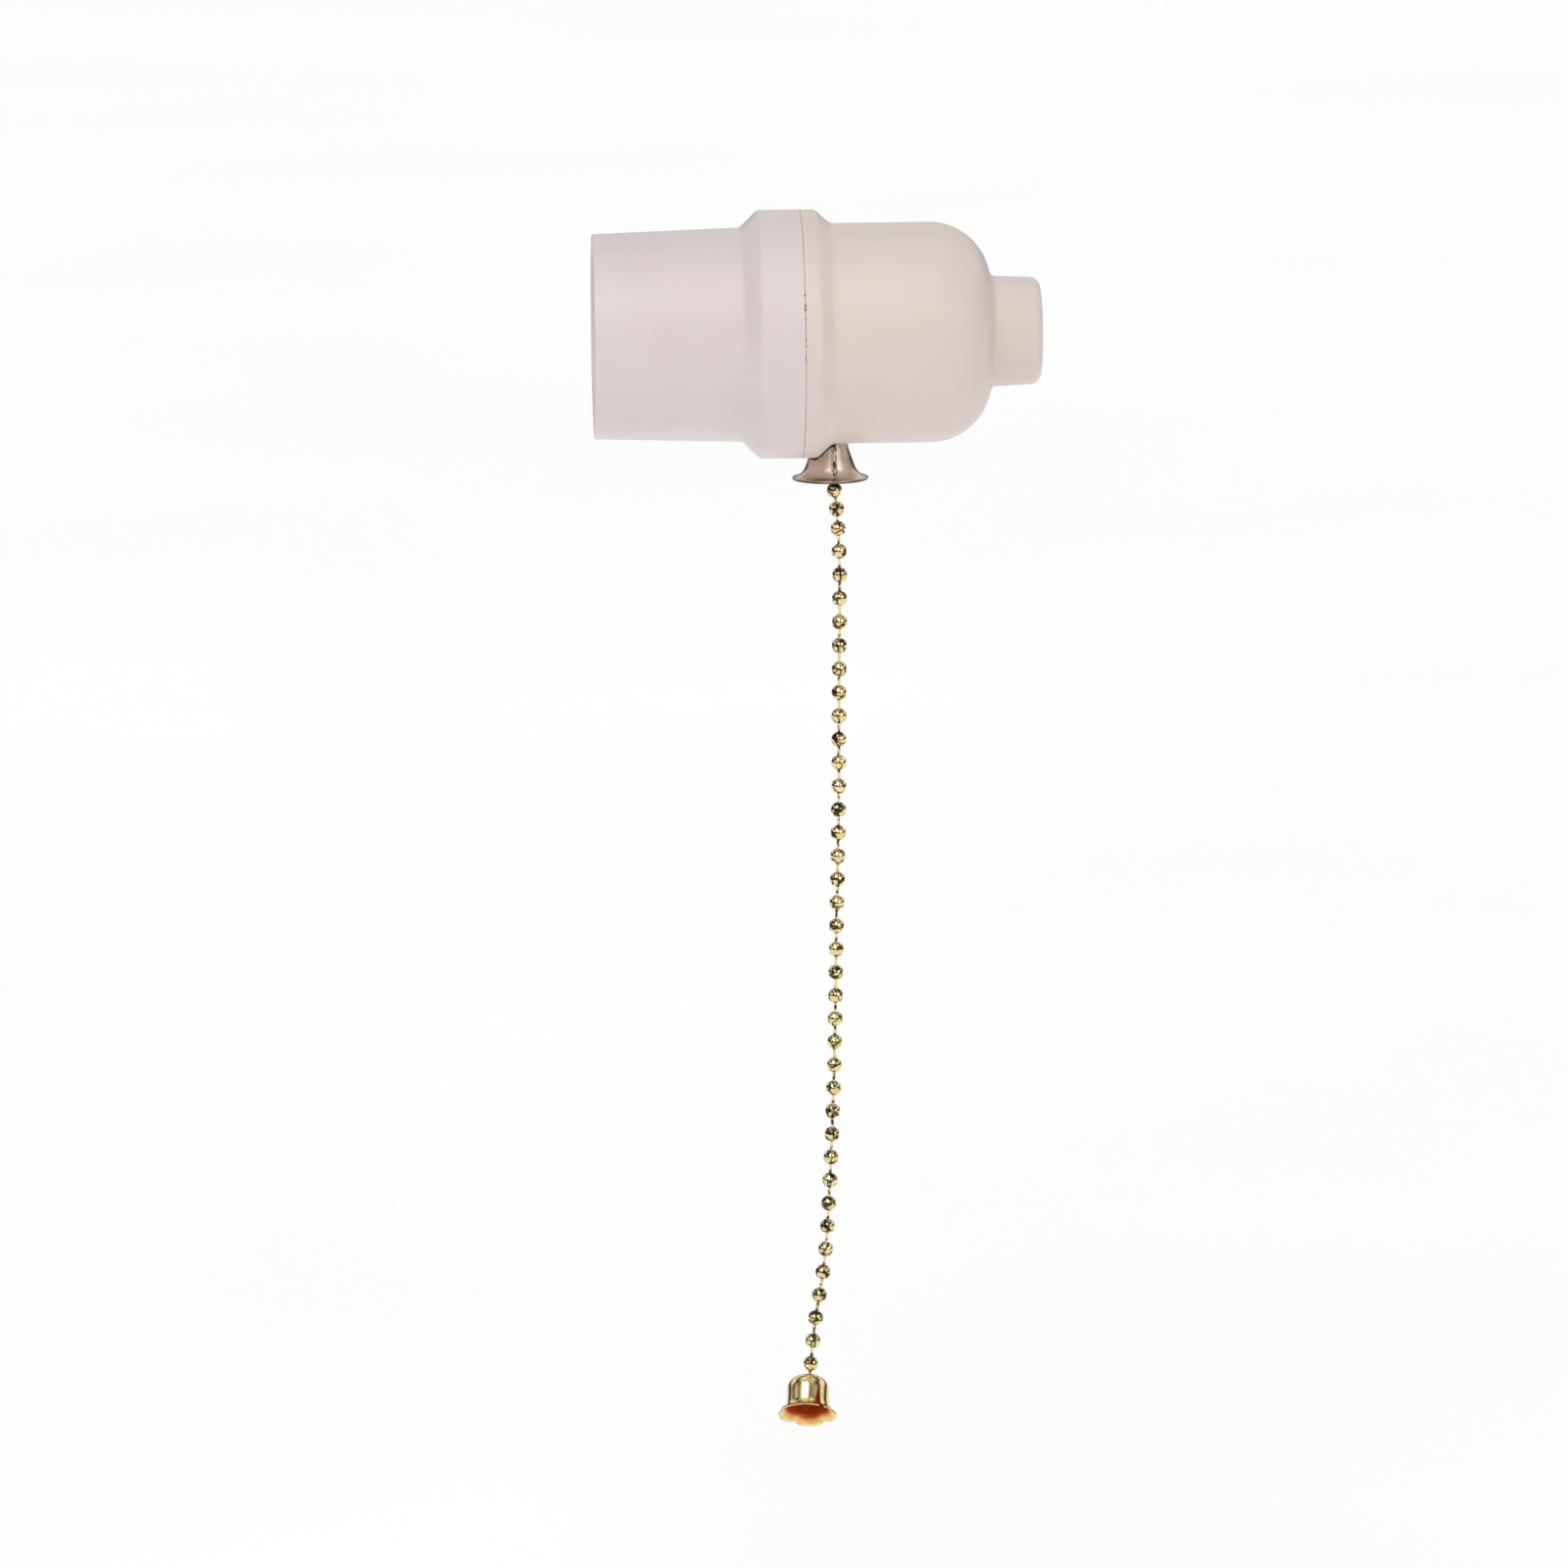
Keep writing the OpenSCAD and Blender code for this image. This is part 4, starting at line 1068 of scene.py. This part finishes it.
place(clamp_screws, "housing", "brass", "terminal_screws")


def rivet():
    head = [(-46.8 + 0.5 * (1 - math.cos(math.radians(a))), 1.35 * math.sin(math.radians(a))) for a in range(0, 91, 10)]
    prof = head + [(-46.25, 1.33), (-46.25, 0.8), (-43.05, 0.8), (-43.05, 1.3)]
    prof += [(-42.55 - 0.25 * (1 - math.sin(math.radians(a))) + 0.05, 1.3 * math.cos(math.radians(a))) for a in range(0, 91, 15)]
    prof[-1] = (prof[-1][0], 0.0)
    return new_mesh("contact_rivet", *revolve(prof, 48, close=False, origin=(0, 0, -3.6)), angle=40, mats=[M["brass"]])


place(rivet(), "housing", "brass", "centre_rivet")


def contact_tongue():
    """Springy tongue: a bent strip with a rounded, slightly dished end."""
    mid = curve([(-46.12, -1.86), (-46.2, -1.66), (-47.2, -0.62), (-48.5, 0.68), (-49.38, 1.58), (-49.66, 2.02),
                 (-49.5, 2.45), (-49.02, 2.93)], 0.12)
    m, n, w = len(mid), 26, 0.165
    d = np.concatenate([[0], np.cumsum([np.linalg.norm(q - p) for p, q in zip(mid, mid[1:])])])
    verts = []
    for side in (1, -1):
        for i, p in enumerate(mid):
            t = mid[min(i + 1, m - 1)] - mid[max(i - 1, 0)]
            t = t / np.linalg.norm(t)
            nr = np.array([-t[1], t[0]])
            left = d[-1] - d[i]
            hw = 1.96 - 0.2 * d[i] / d[-1]
            if left < 1.0:
                hw -= 0.9 * (1 - math.sqrt(max(0.0, 1 - (1 - left) ** 2)))
            for j in range(n + 1):
                y = -math.cos(math.pi * j / n) * hw
                edge = min(1.0, (hw - abs(y)) / 0.1)
                th = w * (0.45 + 0.55 * math.sqrt(max(0.0, 1 - (1 - edge) ** 2)))
                rib = 0.1 * math.exp(-((y / 0.42) ** 2)) * min(1, d[i] / 0.8) * min(1, left / 1.6)
                q = p + (side * th - rib) * nr
                verts.append((q[0], y, q[1]))
    C, off = n + 1, m * (n + 1)
    faces = []
    for i in range(m - 1):
        for j in range(n):
            a = i * C + j
            faces.append((a, a + 1, a + C + 1, a + C))
            faces.append((off + a, off + a + C, off + a + C + 1, off + a + 1))
        for j in (0, n):
            a = i * C + j
            faces.append((a, a + C, off + a + C, off + a))
    for i in (0, m - 1):
        for j in range(n):
            a = i * C + j
            faces.append((a, off + a, off + a + 1, a + 1))
    return new_mesh("contact_tongue", verts, faces, angle=45, mats=[M["brass"]])


tongue = place(contact_tongue(), "lamp_contact", slots["centre_contact"], "centre_contact")


# ---- floor, light, end ----------------------------------------------------------------

def studio():
    me = bpy.data.meshes.new("floor")
    s, z = 14.0, lo0.z - 0.07
    me.from_pydata([(-s, -4, z), (s, -4, z), (s, 2 * s, z), (-s, 2 * s, z)], [], [(0, 1, 2, 3)])
    floor = bpy.data.objects.new("floor", me)
    bpy.context.scene.collection.objects.link(floor)
    m = Mat("floor_paper")
    c = m.mix(m.ramp(m.noise(3.0, 2.0), 0.3, 0.7), (0.93, 0.93, 0.93), (0.95, 0.95, 0.95))
    m.link(c, m.bsdf.inputs["Emission Color"])
    me.materials.append(m.out(c, m.ramp(m.noise(40.0), 0.0, 1.0, 0.8, 0.95), Emission_Strength=0.19))

    world = bpy.data.worlds.new("studio")
    world.use_nodes = True
    bpy.context.scene.world = world
    t = world.node_tree
    bg = next(x for x in t.nodes if x.type == "BACKGROUND")
    tc = t.nodes.new("ShaderNodeTexCoord")
    sep = t.nodes.new("ShaderNodeSeparateXYZ")
    t.links.new(tc.outputs["Generated"], sep.inputs[0])
    ramp = t.nodes.new("ShaderNodeValToRGB")
    mr = t.nodes.new("ShaderNodeMapRange")
    mr.inputs["From Min"].default_value = -1
    mr.inputs["From Max"].default_value = 1
    t.links.new(sep.outputs[2], mr.inputs["Value"])
    t.links.new(mr.outputs["Result"], ramp.inputs["Fac"])
    cr = ramp.color_ramp
    cr.elements[0].position = 0.0
    cr.elements[0].color = (0.9, 0.9, 0.9, 1)
    cr.elements[1].position = 1.0
    cr.elements[1].color = (1.0, 1.0, 1.0, 1)
    for pos, val in ((0.46, 0.6), (0.50, 0.03), (0.60, 0.05), (0.63, 0.95), (0.79, 1.0), (0.82, 0.12), (0.90, 0.15), (0.93, 1.0)):
        e = cr.elements.new(pos)
        e.color = (val, val, val, 1)
    turn = t.nodes.new("ShaderNodeMath")
    turn.operation = "ARCTAN2"
    flip = t.nodes.new("ShaderNodeMath")
    flip.operation = "MULTIPLY"
    flip.inputs[1].default_value = -1.0
    t.links.new(sep.outputs[1], flip.inputs[0])
    t.links.new(sep.outputs[0], turn.inputs[0])
    t.links.new(flip.outputs[0], turn.inputs[1])
    ma = t.nodes.new("ShaderNodeMapRange")
    ma.inputs["From Min"].default_value = -math.pi
    ma.inputs["From Max"].default_value = math.pi
    t.links.new(turn.outputs[0], ma.inputs["Value"])
    side = t.nodes.new("ShaderNodeValToRGB")
    t.links.new(ma.outputs["Result"], side.inputs["Fac"])
    cs = side.color_ramp
    cs.elements[0].position, cs.elements[0].color = 0.0, (0.9, 0.9, 0.9, 1)
    cs.elements[1].position, cs.elements[1].color = 1.0, (0.9, 0.9, 0.9, 1)
    for deg, val in ((-115, 0.9), (-108, 0.08), (-96, 0.08), (-90, 1.0), (-52, 1.0), (-46, 0.04), (-30, 0.04), (-26, 1.25),
                     (-2, 1.25), (3, 0.35), (18, 0.30), (22, 0.04), (30, 0.04), (35, 1.0), (66, 1.0), (71, 0.05),
                     (84, 0.05), (90, 0.95)):
        e = cs.elements.new((deg + 180) / 360)
        e.color = (val, val, val, 1)
    both = t.nodes.new("ShaderNodeMix")
    both.data_type = "RGBA"
    both.blend_type = "MULTIPLY"
    rgba = [i for i in both.inputs if i.type == "RGBA"]
    both.inputs[0].default_value = 1.0
    t.links.new(ramp.outputs["Color"], rgba[0])
    t.links.new(side.outputs["Color"], rgba[1])
    t.links.new([o for o in both.outputs if o.type == "RGBA"][0], bg.inputs["Color"])
    bg.inputs["Strength"].default_value = 1.05
    # what stands behind the object is a plain pale wall
    wall = t.nodes.new("ShaderNodeBackground")
    wall.inputs["Color"].default_value = (0.97, 0.97, 0.97, 1)
    seen = t.nodes.new("ShaderNodeLightPath")
    pick = t.nodes.new("ShaderNodeMixShader")
    out = [n for n in t.nodes if n.type == "OUTPUT_WORLD"][0]
    t.links.new(seen.outputs["Is Camera Ray"], pick.inputs[0])
    t.links.new(bg.outputs[0], pick.inputs[1])
    t.links.new(wall.outputs[0], pick.inputs[2])
    t.links.new(pick.outputs[0], out.inputs["Surface"])

    def sun(name, az, el, strength, angle, col):
        d = bpy.data.lights.new(name, "SUN")
        d.energy = strength
        d.angle = math.radians(angle)
        d.color = col
        ob = bpy.data.objects.new(name, d)
        a, e = math.radians(az), math.radians(el)
        back = Vector((math.sin(a) * math.cos(e), -math.cos(a) * math.cos(e), math.sin(e)))
        ob.rotation_euler = back.to_track_quat("Z", "Y").to_euler()
        bpy.context.scene.collection.objects.link(ob)

    sun("key", -25, 48, 1.15, 38, (1.0, 0.995, 0.985))
    sun("fill", 40, 25, 0.5, 50, (1.0, 0.99, 0.98))
    bpy.context.scene.view_settings.view_transform = "Standard"
    bpy.context.scene.view_settings.look = "None"


studio()
